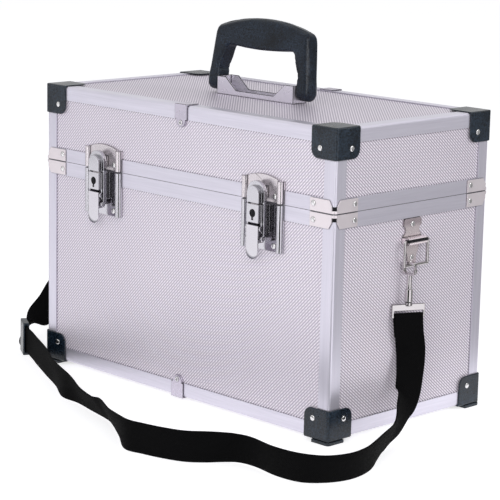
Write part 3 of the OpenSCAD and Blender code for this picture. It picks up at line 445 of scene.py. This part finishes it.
def merged(node):
    """The mesh of a CAD node with its loose triangles joined."""
    form = bmesh.new()
    form.from_mesh(nodes[node].data)
    bmesh.ops.remove_doubles(form, verts=form.verts, dist=0.001 * mm)
    return form


flat_within, sharp_from = math.radians(0.5), math.radians(35)


def finished(node, finish, roll, segments=2, shade_faces=None, shaded_edges=False):
    """A copy of a CAD node with its sharp edges rolled over. Faces that the test picks, and the rolled edges
    where asked, get near-black painted shade.
    """
    form = merged(node)
    bmesh.ops.dissolve_limit(form, angle_limit=flat_within, verts=form.verts, edges=form.edges)
    for face in form.faces:
        face.smooth = True
        face.material_index = int(bool(shade_faces and shade_faces(face.calc_center_median() / mm, face.normal)))
    mesh = bpy.data.meshes.new(node + "_finished")
    form.to_mesh(mesh)
    form.free()
    finishes = [finish, black_and_painted_shade] if shade_faces or shaded_edges else [finish]
    piece = new_piece(node + "_finished", mesh, finishes, home[node], node)
    edges = piece.modifiers.new("edges", "BEVEL")
    edges.width, edges.segments = roll * mm, segments
    edges.limit_method, edges.angle_limit = "ANGLE", sharp_from
    edges.use_clamp_overlap, edges.miter_outer = False, "MITER_ARC"
    edges.material = 1 if shaded_edges else -1
    shade = piece.modifiers.new("shade", "WEIGHTED_NORMAL")
    shade.weight = 100
    return applied(piece)


def ranged(tree, value, *ends):
    """Maps a value from the span between the first two ends to that between the next two, or to 0 to 1."""
    node = tree.nodes.new("ShaderNodeMapRange")
    for k, end in enumerate((value, *ends)):
        feed(tree, node.inputs[k], end)
    return node.outputs["Result"]


def crevice_shade_group():
    """Paints shade into a colour where the surface is not open, in corners and crevices, but leaves Least of
    it.
    """
    group, given, result = new_group(
        "painted_crevice_shade", {"Color": (1, 1, 1, 1), "Openness": 1.0, "Least": 0.1}, ("Color",))
    kept = ranged(group, given["Openness"], 0.25, 0.95, given["Least"])
    group.links.new(mixed(group, kept, (0.004, 0.004, 0.005), given["Color"]), result["Color"])
    return group


crevice_shade = crevice_shade_group()


def crevices(tree, shader, reach, least):
    """Paints shade into the base colour where another surface is closer than reach."""
    near = tree.nodes.new("ShaderNodeAmbientOcclusion")
    near.samples = 4
    near.inputs["Distance"].default_value = reach
    bare_colour = shader.inputs["Base Color"].links[0].from_socket
    shaded_colour = placed(tree, crevice_shade, Color=bare_colour, Openness=near.outputs["AO"], Least=least)
    tree.links.new(shaded_colour["Color"], shader.inputs["Base Color"])


def noise(tree, vector, scale, detail=2):
    node = tree.nodes.new("ShaderNodeTexNoise")
    for label, value in (("Vector", vector), ("Scale", scale), ("Detail", detail)):
        feed(tree, node.inputs[label], value)
    return node.outputs["Fac"]


def moulded_group():
    """The fine grain of a mould and broad faint scuffs: a tone, the wear that roughens it, and a height."""
    group, given, result = new_group(
        "moulded_grain", {"Vector": (0, 0, 0), "Grain": 750.0, "Scuff": 45.0}, ("Tone", "Wear", "Height"))
    grain = noise(group, given["Vector"], given["Grain"], 4)
    scuff = noise(group, given["Vector"], given["Scuff"], 6)
    speck = math_node(group, "MULTIPLY_ADD", grain, 3.2, -1.15)
    tone = math_node(group, "MULTIPLY", speck, math_node(group, "MULTIPLY_ADD", scuff, 2.4, -0.4))
    group.links.new(tone, result["Tone"])
    group.links.new(math_node(group, "MULTIPLY_ADD", scuff, 0.24, -0.12), result["Wear"])
    group.links.new(grain, result["Height"])
    return group


moulded = moulded_group()


def moulded_material(name, low, high, rough, grain, shine=0.5):
    """Black plastic with the fine grain of its mould and faint scuffs, and painted shade in its crevices."""
    material, tree, shader = principled(name, low, rough, Specular_IOR_Level=shine)
    place = tree.nodes.new("ShaderNodeTexCoord")
    look = placed(tree, moulded, Vector=place.outputs["Object"], Grain=grain)
    two_colours(tree, shader, look["Tone"], low, high)
    tree.links.new(math_node(tree, "ADD", look["Wear"], rough), shader.inputs["Roughness"])
    bump(tree, shader, look["Height"], 0.12 * mm, strength=0.6)
    crevices(tree, shader, reach=1.2 * mm, least=0.1)
    return material


# Near-black, for painted shade in gaps, in recesses and along rolled edges, and for the lock cylinders.
black_and_painted_shade = principled("black_and_painted_shade", (0.012, 0.012, 0.015), 0.6, Specular_IOR_Level=0.2)[0]
cap_plastic = moulded_material("moulded_black", (0.001, 0.003, 0.006), (0.020, 0.034, 0.054), rough=0.27,
                               grain=750, shine=0.45)
finished("strap_slider", cap_plastic, 0.8, segments=3)


# Snap hooks and eyes
# Nickel plated castings: a swivel hook with a sprung gate on each ring, and below it the eye, a flat frame
# that the webbing goes through. The plate is bright, a little wavy and slightly dulled by handling.
def plated_group():
    """Wavy and clouded surface of a plated metal."""
    group, given, result = new_group(
        "plated", {"Vector": (0, 0, 0), "Wave": 130.0, "Cloud": 85.0}, ("Height", "Cloud"))
    group.links.new(noise(group, given["Vector"], given["Wave"], 1), result["Height"])
    group.links.new(noise(group, given["Vector"], given["Cloud"]), result["Cloud"])
    return group


plated = plated_group()


def plated_material(name, colour, rough=0.14, tarnish=0.06, wave=0.03 * mm, metal=1.0):
    """Plated metal clouded by its tarnish: darker and smoother in spots, brighter and rougher in others. It
    has painted shade in its crevices.
    """
    material, tree, shader = principled(name, colour, rough, metal)
    place = tree.nodes.new("ShaderNodeTexCoord")
    look = placed(tree, plated, Vector=place.outputs["Object"])
    two_colours(tree, shader, look["Cloud"], tuple(c * (1 - tarnish) for c in colour),
                tuple(min(1, c * (1 + tarnish)) for c in colour))
    dull = math_node(tree, "MULTIPLY_ADD", look["Cloud"], 0.1, rough - 0.05)
    tree.links.new(dull, shader.inputs["Roughness"])
    bump(tree, shader, look["Height"], wave)
    crevices(tree, shader, reach=1.6 * mm, least=0.05)
    return material


bright_plate = plated_material("bright_plate", (0.60, 0.59, 0.63))
hook_plate = plated_material("hook_plate", (0.60, 0.57, 0.58), rough=0.12)
for side in ("left", "right"):
    finished("hook_" + side, hook_plate, 0.4, segments=3)
    finished("gate_" + side, hook_plate, 0.3)
    # The rolled edges of the eyes carry near-black painted shade.
    finished("strap_eye_" + side, hook_plate, 0.35, shaded_edges=True)


# Panels
# Board faced with aluminium sheet, which is embossed with fine slanted ribs. The ribs run up to the right on
# the front, and the other way on the sides and the top. Their valleys carry painted shade, darker on the
# sides than on the front, and a painted shadow of the frame ends them in a dotted line at its edge.
def emboss_group():
    """Rows of short slanted ribs. Plane holds the face's two coordinates. Besides the height it gives painted
    shade in the valleys, with a random tone, and the painted shadow of the frame, one at its edge and broken
    into dots by the valleys.
    """
    group, given, result = new_group(
        "embossed", {"Plane": (0, 0, 0), "Vector": (0, 0, 0), "Pitch": 2.2 * mm, "Slant": math.radians(45),
                     "Rib": 4.6 * mm, "Half": 0.1, "Low": 0.0, "High": 0.1}, ("Height", "ValleyShade", "FrameShade"))
    a, b, _ = axes(group, given["Plane"])
    lean, rise = math_node(group, "COSINE", given["Slant"]), math_node(group, "SINE", given["Slant"])
    a_lean, a_rise = math_node(group, "MULTIPLY", a, lean), math_node(group, "MULTIPLY", a, rise)
    b_lean, b_rise = math_node(group, "MULTIPLY", b, lean), math_node(group, "MULTIPLY", b, rise)
    row = math_node(group, "DIVIDE", math_node(group, "SUBTRACT", a_lean, b_rise), given["Pitch"])
    run = math_node(group, "ADD", a_rise, b_lean)
    wave = math_node(group, "COSINE", math_node(group, "MULTIPLY", row, 2 * math.pi))
    shift = math_node(group, "MULTIPLY", math_node(group, "FLOOR", math_node(group, "ADD", row, 0.5)), 0.37)
    dash = math_node(group, "ADD", math_node(group, "DIVIDE", run, given["Rib"]), shift)
    broken = math_node(group, "COSINE", math_node(group, "MULTIPLY", dash, 2 * math.pi))
    ridge = math_node(group, "MULTIPLY_ADD", wave, 0.5, 0.5)
    height = math_node(group, "MULTIPLY", ridge, math_node(group, "MULTIPLY_ADD", broken, 0.16, 0.84))
    valley_shade = math_node(group, "SUBTRACT", 1, height)
    inside = math_node(group, "SUBTRACT", given["Half"], math_node(group, "ABSOLUTE", a))
    inside = math_node(group, "MINIMUM", inside, math_node(group, "SUBTRACT", b, given["Low"]))
    inside = math_node(group, "MINIMUM", inside, math_node(group, "SUBTRACT", given["High"], b))
    edge = ranged(group, inside, 0, 1.3 * mm, 1, 0)
    tone = math_node(group, "MULTIPLY_ADD", noise(group, given["Vector"], 9), 0.14, -0.07)
    group.links.new(height, result["Height"])
    group.links.new(math_node(group, "ADD", valley_shade, tone), result["ValleyShade"])
    group.links.new(math_node(group, "MULTIPLY", edge, math_node(group, "POWER", valley_shade, 2)), result["FrameShade"])
    return group


embossed = emboss_group()
rib_high, rib_shade, side_rib_shade = (0.99, 0.93, 1.0), (0.455, 0.41, 0.495), (0.36, 0.32, 0.385)


def tinted(tree, shader, factor, colour, blend="MIX"):
    """Lays another colour over the base colour where factor is one."""
    under = shader.inputs["Base Color"].links[0].from_socket
    tree.links.new(mixed(tree, factor, under, colour, blend), shader.inputs["Base Color"])


def refinished(node, finish):
    """Gives a CAD node whose shape stays its material."""
    nodes[node].data.materials.clear()
    nodes[node].data.materials.append(finish)


def panel_material(name, first, second, flip, half, low, high, pitch=2.2, slant=45, dark=rib_shade):
    """Embossed sheet that shows between the frame, in millimetres along two of the object's axes, with
    painted shade in its valleys and a painted shadow along the frame.
    """
    material, tree, shader = principled(name, rib_high, 0.44, 0.35)
    place = tree.nodes.new("ShaderNodeTexCoord")
    spot = axes(tree, place.outputs["Object"])
    join = tree.nodes.new("ShaderNodeCombineXYZ")
    tree.links.new(math_node(tree, "MULTIPLY", spot[first], flip), join.inputs[0])
    tree.links.new(spot[second], join.inputs[1])
    relief = placed(tree, embossed, Plane=join.outputs[0], Vector=place.outputs["Object"], Pitch=pitch * mm,
                    Slant=math.radians(slant), Half=half * mm, Low=low * mm, High=high * mm)
    # Painted shade in the valleys, then the painted shadow of the frame.
    two_colours(tree, shader, relief["ValleyShade"], rib_high, dark)
    tinted(tree, shader, relief["FrameShade"], (0.05, 0.05, 0.06))
    bump(tree, shader, relief["Height"], 0.22 * mm, strength=0.7)
    return material


shown_x, shown_y = 175.5, 86
for part, low, high in (("base", 17, 185.8), ("lid", 211.2, 257.5)):
    front_sheet = panel_material(part + "_front_sheet", 0, 2, 1, shown_x, low, high)
    side_sheet = panel_material(part + "_side_sheet", 1, 2, -1, shown_y, low, high, pitch=2.13, slant=50,
                                dark=side_rib_shade)
    flat_sheet = panel_material(part + "_flat_sheet", 0, 1, -1, shown_x, -shown_y, shown_y)
    flat = "bottom" if part == "base" else "top"
    for where, sheet in (("front", front_sheet), ("back", front_sheet), ("left", side_sheet),
                         ("right", side_sheet), (flat, flat_sheet)):
        refinished(f"{part}_{where}_panel", sheet)


# Edge profiles and rims
# Extruded aluminium, silver anodised, with the fine lines of the die along its length. In the notches of the
# seam plates, at the ends of the uprights, the metal carries near-black painted shade.
def drawn_group():
    """Fine parallel lines: Along is small on the axis that they follow."""
    group, given, result = new_group(
        "drawn_lines", {"Vector": (0, 0, 0), "Along": (1, 0, 0), "Scale": 900.0}, ("Height", "Tone"))
    squeeze = group.nodes.new("ShaderNodeVectorMath")
    squeeze.operation = "MULTIPLY"
    group.links.new(given["Vector"], squeeze.inputs[0])
    group.links.new(given["Along"], squeeze.inputs[1])
    fine = noise(group, squeeze.outputs[0], given["Scale"], 3)
    broad = noise(group, squeeze.outputs[0], 240)
    tone = math_node(group, "MULTIPLY_ADD", broad, 0.5, math_node(group, "MULTIPLY", fine, 0.5))
    group.links.new(fine, result["Height"])
    group.links.new(tone, result["Tone"])
    return group


drawn = drawn_group()
notch_from = (185.1, 95.6)


def anodised_material(name, along, notches=(), bright=1.0):
    """Notches are spans of height at the corners, in millimetres, where the metal carries painted shade.
    Painted shade also darkens its crevices.
    """
    low, high = [tuple(c * bright for c in colour) for colour in ((0.575, 0.555, 0.64), (0.82, 0.79, 0.89))]
    material, tree, shader = principled(name, high, 0.33, 0.72)
    place = tree.nodes.new("ShaderNodeTexCoord")
    lines = placed(tree, drawn, Vector=place.outputs["Object"], Along=along)
    two_colours(tree, shader, lines["Tone"], low, high)
    if notches:
        spot = axes(tree, place.outputs["Object"])
        past_x, past_y = [math_node(tree, "GREATER_THAN", math_node(tree, "ABSOLUTE", spot[k]), start * mm)
                          for k, start in enumerate(notch_from)]
        corner = math_node(tree, "MULTIPLY", past_x, past_y)
        inside = 0.0
        for foot, top in notches:
            span = math_node(tree, "MULTIPLY", math_node(tree, "GREATER_THAN", spot[2], foot * mm),
                             math_node(tree, "LESS_THAN", spot[2], top * mm))
            inside = math_node(tree, "ADD", span, inside)
        tinted(tree, shader, math_node(tree, "MULTIPLY", corner, inside), (0.01, 0.01, 0.012))
    bump(tree, shader, lines["Height"], 0.03 * mm)
    crevices(tree, shader, reach=1.4 * mm, least=0.1)
    return material


upright_metal = anodised_material("anodised_upright", along=(1, 1, 0.02))
# The top and bottom profiles are a brighter copy of the same metal: painted light.
brightened_flat_metal = anodised_material("anodised_flat_brightened", along=(0.03, 0.03, 1), bright=1.08)
rim_metal = anodised_material("anodised_rim", along=(0.03, 0.03, 1), notches=((192.6, 196), (202, 205.4)))
for node, metal in (("base_uprights", upright_metal), ("lid_uprights", upright_metal),
                    ("base_bottom_profiles", brightened_flat_metal), ("lid_top_profiles", brightened_flat_metal),
                    ("base_rim", rim_metal), ("lid_rim", rim_metal)):
    refinished(node, metal)


# Corner caps
# Moulded black plastic over the eight corners, with softly rolled edges and a fine grain. The lower four
# have a foot, and each is riveted on both sides.
for part in ("base", "lid"):
    for corner in ("front_left", "front_right", "back_right", "back_left"):
        finished(f"cap_{part}_{corner}", cap_plastic, 0.6, segments=3)


# Rivets
# Plated steel rivets with low domed heads hold the caps, plates, leaves and brackets. The clips over the
# middles of the edges are held by hollow ones, whose ends are rolled over.
rivet_metal = plated_material("rivet_plate", (0.80, 0.79, 0.80), rough=0.16)


def head_mesh(name, outline, count=20):
    """A head turned from an outline of radius and height, in millimetres."""
    turns = [2 * math.pi * k / count for k in range(count)]
    verts = [(r * mm * math.cos(turn), r * mm * math.sin(turn), h * mm) for r, h in outline for turn in turns]
    mesh = bpy.data.meshes.new(name)
    mesh.from_pydata(verts, [], tube_faces(len(outline), count))
    mesh.shade_smooth()
    return bpy.data.objects.new(name, mesh)


def scatter_group():
    """A head on each point, turned to face the way that the point's attribute gives."""
    group = bpy.data.node_groups.new("rivet_heads", "GeometryNodeTree")
    for label, kind in (("Points", "NodeSocketGeometry"), ("Head", "NodeSocketObject"),
                        ("Finish", "NodeSocketMaterial"), ("Spin Seed", "NodeSocketInt")):
        group.interface.new_socket(name=label, in_out="INPUT", socket_type=kind)
    group.interface.new_socket(name="Heads", in_out="OUTPUT", socket_type="NodeSocketGeometry")
    given, result = group.nodes.new("NodeGroupInput"), group.nodes.new("NodeGroupOutput")
    facing = group.nodes.new("GeometryNodeInputNamedAttribute")
    facing.data_type = "FLOAT_VECTOR"
    facing.inputs["Name"].default_value = "facing"
    head = group.nodes.new("GeometryNodeObjectInfo")
    spin = group.nodes.new("FunctionNodeRandomValue")
    spin.inputs["Max"].default_value = 2 * math.pi
    spin_turn = group.nodes.new("ShaderNodeCombineXYZ")
    start = group.nodes.new("FunctionNodeEulerToRotation")
    align = group.nodes.new("FunctionNodeAlignRotationToVector")
    align.axis = "Z"
    heads = group.nodes.new("GeometryNodeInstanceOnPoints")
    real = group.nodes.new("GeometryNodeRealizeInstances")
    paint = group.nodes.new("GeometryNodeSetMaterial")
    link = group.links.new
    link(given.outputs["Points"], heads.inputs["Points"])
    link(given.outputs["Head"], head.inputs["Object"])
    link(given.outputs["Spin Seed"], spin.inputs["Seed"])
    link(spin.outputs[1], spin_turn.inputs[2])
    link(spin_turn.outputs[0], start.inputs[0])
    link(start.outputs[0], align.inputs["Rotation"])
    link(facing.outputs["Attribute"], align.inputs["Vector"])
    link(head.outputs["Geometry"], heads.inputs["Instance"])
    link(align.outputs["Rotation"], heads.inputs["Rotation"])
    link(heads.outputs[0], real.inputs[0])
    link(real.outputs[0], paint.inputs["Geometry"])
    link(given.outputs["Finish"], paint.inputs["Material"])
    link(paint.outputs[0], result.inputs[0])
    return group


scatter = scatter_group()


def rivet_places(node):
    """Foot and facing of each rivet of a CAD node, from the box round each of its solids."""
    form = merged(node)
    left, places = set(form.verts), []
    while left:
        reach = [left.pop()]
        for vert in reach:
            for edge in vert.link_edges:
                other = edge.other_vert(vert)
                if other in left:
                    left.discard(other)
                    reach.append(other)
        low = Vector([min(v.co[k] for v in reach) for k in range(3)])
        high = Vector([max(v.co[k] for v in reach) for k in range(3)])
        thin = min(range(3), key=lambda k: high[k] - low[k])
        facing = Vector((0, 0, 0))
        facing[thin] = 1 if thin == 2 or low[thin] > 0 else -1
        places.append(((low + high) / 2 - facing * (high[thin] - low[thin]) / 2, facing))
    form.free()
    return sorted(places, key=lambda row: tuple(round(c, 5) for c in row[0]))


def rivet_heads(name, places, head, body, seed, *replaced):
    """One head on each place, as a plain mesh."""
    mesh = bpy.data.meshes.new(name)
    mesh.from_pydata([foot for foot, facing in places], [], [])
    mesh.attributes.new("facing", "FLOAT_VECTOR", "POINT").data.foreach_set(
        "vector", [c for foot, facing in places for c in facing])
    piece = new_piece(name, mesh, [rivet_metal], body, *replaced)
    heads = piece.modifiers.new("heads", "NODES")
    heads.node_group = scatter
    sockets = {item.name: item.identifier for item in scatter.interface.items_tree if item.in_out == "INPUT"}
    heads[sockets["Head"]] = head
    heads[sockets["Finish"]] = rivet_metal
    heads[sockets["Spin Seed"]] = seed
    return applied(piece)


dome = head_mesh("dome", [(2.2, -0.3), (2.55, 0.02), (2.5, 0.2), (2.3, 0.42), (1.9, 0.62), (1.3, 0.78),
                          (0.6, 0.87)])
eyelet = head_mesh("eyelet", [(1.9, -0.3), (2.35, 0.05), (2.25, 0.45), (1.85, 0.72), (1.4, 0.72), (1.1, 0.45),
                              (0.95, -0.2)])
for head in (dome, eyelet):
    bpy.context.collection.objects.link(head)
dome_seed, eyelet_seed = 3, 7
for k, part in enumerate(("base", "lid")):
    places = rivet_places(part + "_rivets")
    hollow = [row for row in places if abs(row[0].x) < mm and abs(row[1].y) > 0.5]
    domed = [row for row in places if row not in hollow]
    rivet_heads(part + "_rivet_heads", domed, dome, part, dome_seed + k, part + "_rivets")
    rivet_heads(part + "_clip_eyelets", hollow, eyelet, part, eyelet_seed + k)
for head in (dome, eyelet):
    bpy.data.objects.remove(head)


# Seam plates and centre clips
# Pressed steel sheet, plated with a satin finish: warm in tone on the plates folded round the corners at the
# seam, and cooler on the clips over the middles of the long edges. Their cut edges along the seam, and the
# rolled edges of the clips, carry near-black painted shade.
fine_wave = 0.02 * mm
warm_plate = plated_material("warm_plate", (0.80, 0.735, 0.765), rough=0.3, tarnish=0.05,
                             wave=fine_wave, metal=0.6)
clip_plate = plated_material("clip_plate", (0.645, 0.60, 0.70), rough=0.28, tarnish=0.05,
                             wave=fine_wave, metal=0.7)
seam_z = 199


def seam_edge(c, n):
    """Whether a face with its middle at c, in millimetres, and its normal n is a cut edge along the seam."""
    return abs(n.z) > 0.9 and abs(c.z - seam_z) < 1


for part in ("base", "lid"):
    finished(part + "_seam_plates", warm_plate, 0.25, shade_faces=seam_edge)
    finished(part + "_clips", clip_plate, 0.3, shaded_edges=True)


# Hinges
# Two hinges at the back, of nickel plated steel. Each has a leaf on the base and one on the lid, whose
# knuckles take turns along one pin.
for node in ("hinge_base_leaves", "hinge_lid_leaves"):
    finished(node, bright_plate, 0.25)
for node in ("hinge_pins", "latch_pins", "handle_pins"):
    refinished(node, bright_plate)


# Latches
# Key latches pressed from bright plated steel: a plate with rolled sides, a lock body with its dark
# cylinder, a finger lever, and the claw that it draws down over the keeper on the lid.
def lip_group():
    """One along the rounded tip of a lever that hangs down, whose lip is turned away from the light."""
    group, given, result = new_group(
        "turned_lip", {"Vector": (0, 0, 0), "Middle": 0.0, "Foot": 0.0, "Radius": 0.01}, ("Lip",))
    x, _, z = axes(group, given["Vector"])
    radius = given["Radius"]
    centre = math_node(group, "ADD", given["Foot"], radius)
    off_x = math_node(group, "SUBTRACT", x, given["Middle"])
    off_z = math_node(group, "MINIMUM", math_node(group, "SUBTRACT", z, centre), 0)
    squares = [math_node(group, "MULTIPLY", off, off) for off in (off_x, off_z)]
    reach = math_node(group, "SQRT", math_node(group, "ADD", *squares))
    lip = ranged(group, reach, math_node(group, "SUBTRACT", radius, 3 * mm),
                 math_node(group, "SUBTRACT", radius, 0.4 * mm))
    tip = ranged(group, z, math_node(group, "ADD", centre, radius), centre)
    group.links.new(math_node(group, "MULTIPLY", lip, tip), result["Lip"])
    return group


def parts_of(material):
    """The tree, the shader and the Object coordinates of a plated material."""
    tree = material.node_tree
    place = next(n for n in tree.nodes if n.type == "TEX_COORD")
    return tree, next(n for n in tree.nodes if n.type == "BSDF_PRINCIPLED"), place.outputs["Object"]


latch_front, latch_low, keeper_low = -100.6, 170, 224
# Near-black painted shade goes on the lock bodies' faces in their gaps, on the keepers' upper faces and
# edges, on the tops of the levers and on the ends of the claws.
finished("latch_bases", bright_plate, 0.3,
         shade_faces=lambda c, n: abs(n.z) > 0.9 and c.y < latch_front and c.z > latch_low)
keeper_plate = plated_material("keeper_plate", (0.72, 0.67, 0.70), rough=0.22, tarnish=0.04,
                               wave=fine_wave, metal=0.8)
finished("keepers", keeper_plate, 0.3,
         shade_faces=lambda c, n: n.z > 0.25 and abs(n.y) < 0.3 and c.z > keeper_low, shaded_edges=True)
turned_lip = lip_group()
lip_off = 1.4 * mm
for side in ("left", "right"):
    lever_plate = plated_material("lever_plate_" + side, (0.64, 0.62, 0.66))
    low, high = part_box("lever_" + side)
    tree, shader, where = parts_of(lever_plate)
    lip = placed(tree, turned_lip, Vector=where, Middle=(low[0] + high[0]) / 2 + lip_off, Foot=low[2],
                 Radius=(high[0] - low[0]) / 2)
    # Painted shade along the tip of the lever, as of a lip turned away from the light.
    tinted(tree, shader, lip["Lip"], (0.05, 0.05, 0.07))
    finished("lever_" + side, lever_plate, 0.35, segments=3, shade_faces=lambda c, n: n.z > 0.9)
    finished("claw_" + side, bright_plate, 0.35, segments=3,
             shade_faces=lambda c, n: abs(n.z) > 0.3 and abs(n.y) < 0.3)
    # The lock cylinders take the same near-black.
    finished("lock_" + side, black_and_painted_shade, 0.25)


# Handle bracket
# A channel of aluminium sheet, bent up at its ends round the pins of the handle, with smooth silver faces.
bracket_metal = plated_material("bracket_metal", (0.67, 0.64, 0.71), rough=0.28, tarnish=0.03,
                                wave=fine_wave, metal=0.6)
sheet_x, channel_y = 46, 5
# The upward faces of its flanks and its rolled edges carry near-black painted shade.
finished("handle_bracket", bracket_metal, 0.45,
         shade_faces=lambda c, n: n.z > 0.3 and abs(c.y) > channel_y and abs(c.x) < sheet_x, shaded_edges=True)


# Handle
# One moulding of black plastic with softly rounded edges and a fine grain. It turns on two pins and folds
# down to either side.
handle_plastic = moulded_material("handle_plastic", (0.0005, 0.001, 0.003), (0.020, 0.032, 0.052), rough=0.3,
                                  grain=900, shine=0.28)
form = merged("handle")
mesh = bpy.data.meshes.new("handle_moulding")
form.to_mesh(mesh)
form.free()
grip = new_piece("handle_moulding", mesh, [handle_plastic], "handle", "handle")
cells = grip.modifiers.new("cells", "REMESH")
cells.mode, cells.voxel_size, cells.use_smooth_shade = "VOXEL", 0.8 * mm, True
applied(grip)
# The outer and the inner edge of its right half in millimetres from the pins, from the foot to the middle.
outer_edge = [(66, -12), (66, 6), (61.6, 44.5), (60, 49), (57, 51.7), (54, 52.5), (35, 57.2), (17.5, 59.8),
              (0, 60.6)]
inner_edge = [(50, -12), (50, 15.5), (51.6, 17.5), (43.6, 31.6), (40.6, 33.8), (20, 32.1), (0, 31.6)]
pin_z, lean_back, half_deep, ear_drop = 281.5, math.radians(6), 7.5, 2 * mm
outer_roll, ear_roll, inner_roll, ear_top = 6.5, 5, 2.5, 12


def edge_limit(spot, edge, r):
    """How far from its middle plane the handle may reach at a spot, where its edge is rolled over by r."""
    gap = r
    for start, stop in zip(edge, edge[1:]):
        start, stop = Vector(start), Vector(stop)
        part = max(0, min(1, (spot - start).dot(stop - start) / (stop - start).length_squared))
        gap = min(gap, (spot - start.lerp(stop, part)).length)
    return half_deep - r + math.sqrt(r * r - (r - gap) ** 2)


turn = Matrix.Translation((0, 0, -pin_z * mm))
turn = Matrix.Rotation(lean_back, 4, "X") @ turn
back = turn.inverted()
for vert in grip.data.vertices:
    place = turn @ vert.co
    up = place.z / mm
    spot = Vector((abs(place.x) / mm, up))
    roll = outer_roll if up > ear_top else ear_roll + max(0, up) / 8
    most = min(edge_limit(spot, outer_edge, roll), edge_limit(spot, inner_edge, inner_roll)) * mm
    foot = min(0, place.z + ear_drop)
    reach = math.hypot(place.y, foot)
    if reach > most:
        place.y *= most / reach
        place.z += foot * (most / reach - 1)
        vert.co = back @ place
soften = grip.modifiers.new("soften", "SMOOTH")
soften.factor, soften.iterations = 0.5, 9
applied(grip)
grip.data.materials.clear()
grip.data.materials.append(handle_plastic)
grip.data.shade_smooth()


# Strap brackets and rings
# On each side a bracket of plated sheet, rolled round the upper bar of a wire ring. Its upper plate is
# darker, a band along the roll outside the ring is painted shade, and its rolled edges carry painted shade.
bracket_plate = plated_material("strap_bracket_plate", (0.84, 0.75, 0.77), rough=0.22, tarnish=0.05,
                                wave=fine_wave, metal=0.75)
darker_from, darker_to, barrel_out = 177 * mm, 181 * mm, 191.5 * mm
tree, shader, where = parts_of(bracket_plate)
x, _, z = axes(tree, where)
tinted(tree, shader, ranged(tree, z, darker_from, darker_to), (0.66, 0.63, 0.66), "MULTIPLY")
# A near-black band of painted shade along the roll, outside the ring.
barrel_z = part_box("ring_right")[1][2]
band = math_node(tree, "MULTIPLY", math_node(tree, "GREATER_THAN", z, barrel_z - 1.8 * mm),
                 math_node(tree, "LESS_THAN", z, barrel_z + 0.7 * mm))
outside = math_node(tree, "GREATER_THAN", math_node(tree, "ABSOLUTE", x), barrel_out)
tinted(tree, shader, math_node(tree, "MULTIPLY", band, outside), (0.03, 0.03, 0.035))
finished("strap_brackets", bracket_plate, 0.35, shaded_edges=True)
for side in ("left", "right"):
    refinished("ring_" + side, hook_plate)


# Lining
# Thin foam faced with black cloth, glued into the base and the lid: rounded at its corners and its edge, with
# the face slightly crowned between them.
lining_cloth, tree, shader = principled("lining_cloth", (0.03, 0.03, 0.033), 0.9)
place = tree.nodes.new("ShaderNodeTexCoord")
knit = tree.nodes.new("ShaderNodeTexVoronoi")
knit.inputs["Scale"].default_value = 1600
tree.links.new(place.outputs["Object"], knit.inputs["Vector"])
two_colours(tree, shader, knit.outputs["Distance"], (0.045, 0.045, 0.05), (0.012, 0.012, 0.014))
bump(tree, shader, knit.outputs["Distance"], 0.2 * mm)


def lining_loop(half_x, half_y, z, r):
    """A rounded rectangle of 104 points at one height, in millimetres: four arcs and four straights."""
    signs = ((1, 1), (-1, 1), (-1, -1), (1, -1))
    arcs = []
    for k, (sx, sy) in enumerate(signs):
        turns = [math.radians(90 * k + 15 * j) for j in range(7)]
        arcs.append([Vector((sx * (half_x - r), sy * (half_y - r))) + r * Vector((math.cos(t), math.sin(t)))
                     for t in turns])
    points = []
    for k, arc in enumerate(arcs):
        points += arc + [arc[-1].lerp(arcs[(k + 1) % 4][0], j / 20) for j in range(1, 20)]
    return [Vector((p.x, p.y, z)) * mm for p in points]


for part in ("base", "lid"):
    low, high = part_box(part + "_lining")
    half_x, half_y = high[0] / mm, high[1] / mm
    floor_z, edge_z = (low[2] / mm, high[2] / mm) if part == "base" else (high[2] / mm, low[2] / mm)
    up = 1 if part == "base" else -1
    deep = abs(edge_z - floor_z)
    flat = half_y - 8
    # Each row is the inset from the outside, the height over the closed end, and the radius of the corners.
    rows = [(half_y - 2, 0, 1), (2, 0, 3), (0.3, 0.5, 2), (0, 3, 2), (0, deep - 1, 2), (0.3, deep - 0.3, 2),
            (1, deep, 2), (1.7, deep - 0.3, 3), (2, deep - 1, 4)]
    rows += [(2 + 0.5 * math.sin(math.pi * k / 8), deep - 1 - (deep - 9) * k / 8, 4 + k / 2)
             for k in range(1, 9)]
    rows += [(2.6, 5, 9), (4, 3.2, 10), (6.5, 2.2, 10)]
    rows += [(6.5 + (flat - 6.5) * k / 6, 2 + 0.7 * math.sin(math.pi * k / 12), 10 - k) for k in range(1, 7)]
    loops = [lining_loop(half_x - inset, half_y - inset, floor_z + up * lift, r) for inset, lift, r in rows]
    faces = tube_faces(len(loops), len(loops[0]))
    if part == "base":
        faces = [face[::-1] for face in faces]
    mesh = bpy.data.meshes.new(part + "_lining_foam")
    mesh.from_pydata([point for loop in loops for point in loop], [], faces)
    mesh.shade_smooth()
    foam = new_piece(part + "_lining_foam", mesh, [lining_cloth], part, part + "_lining")
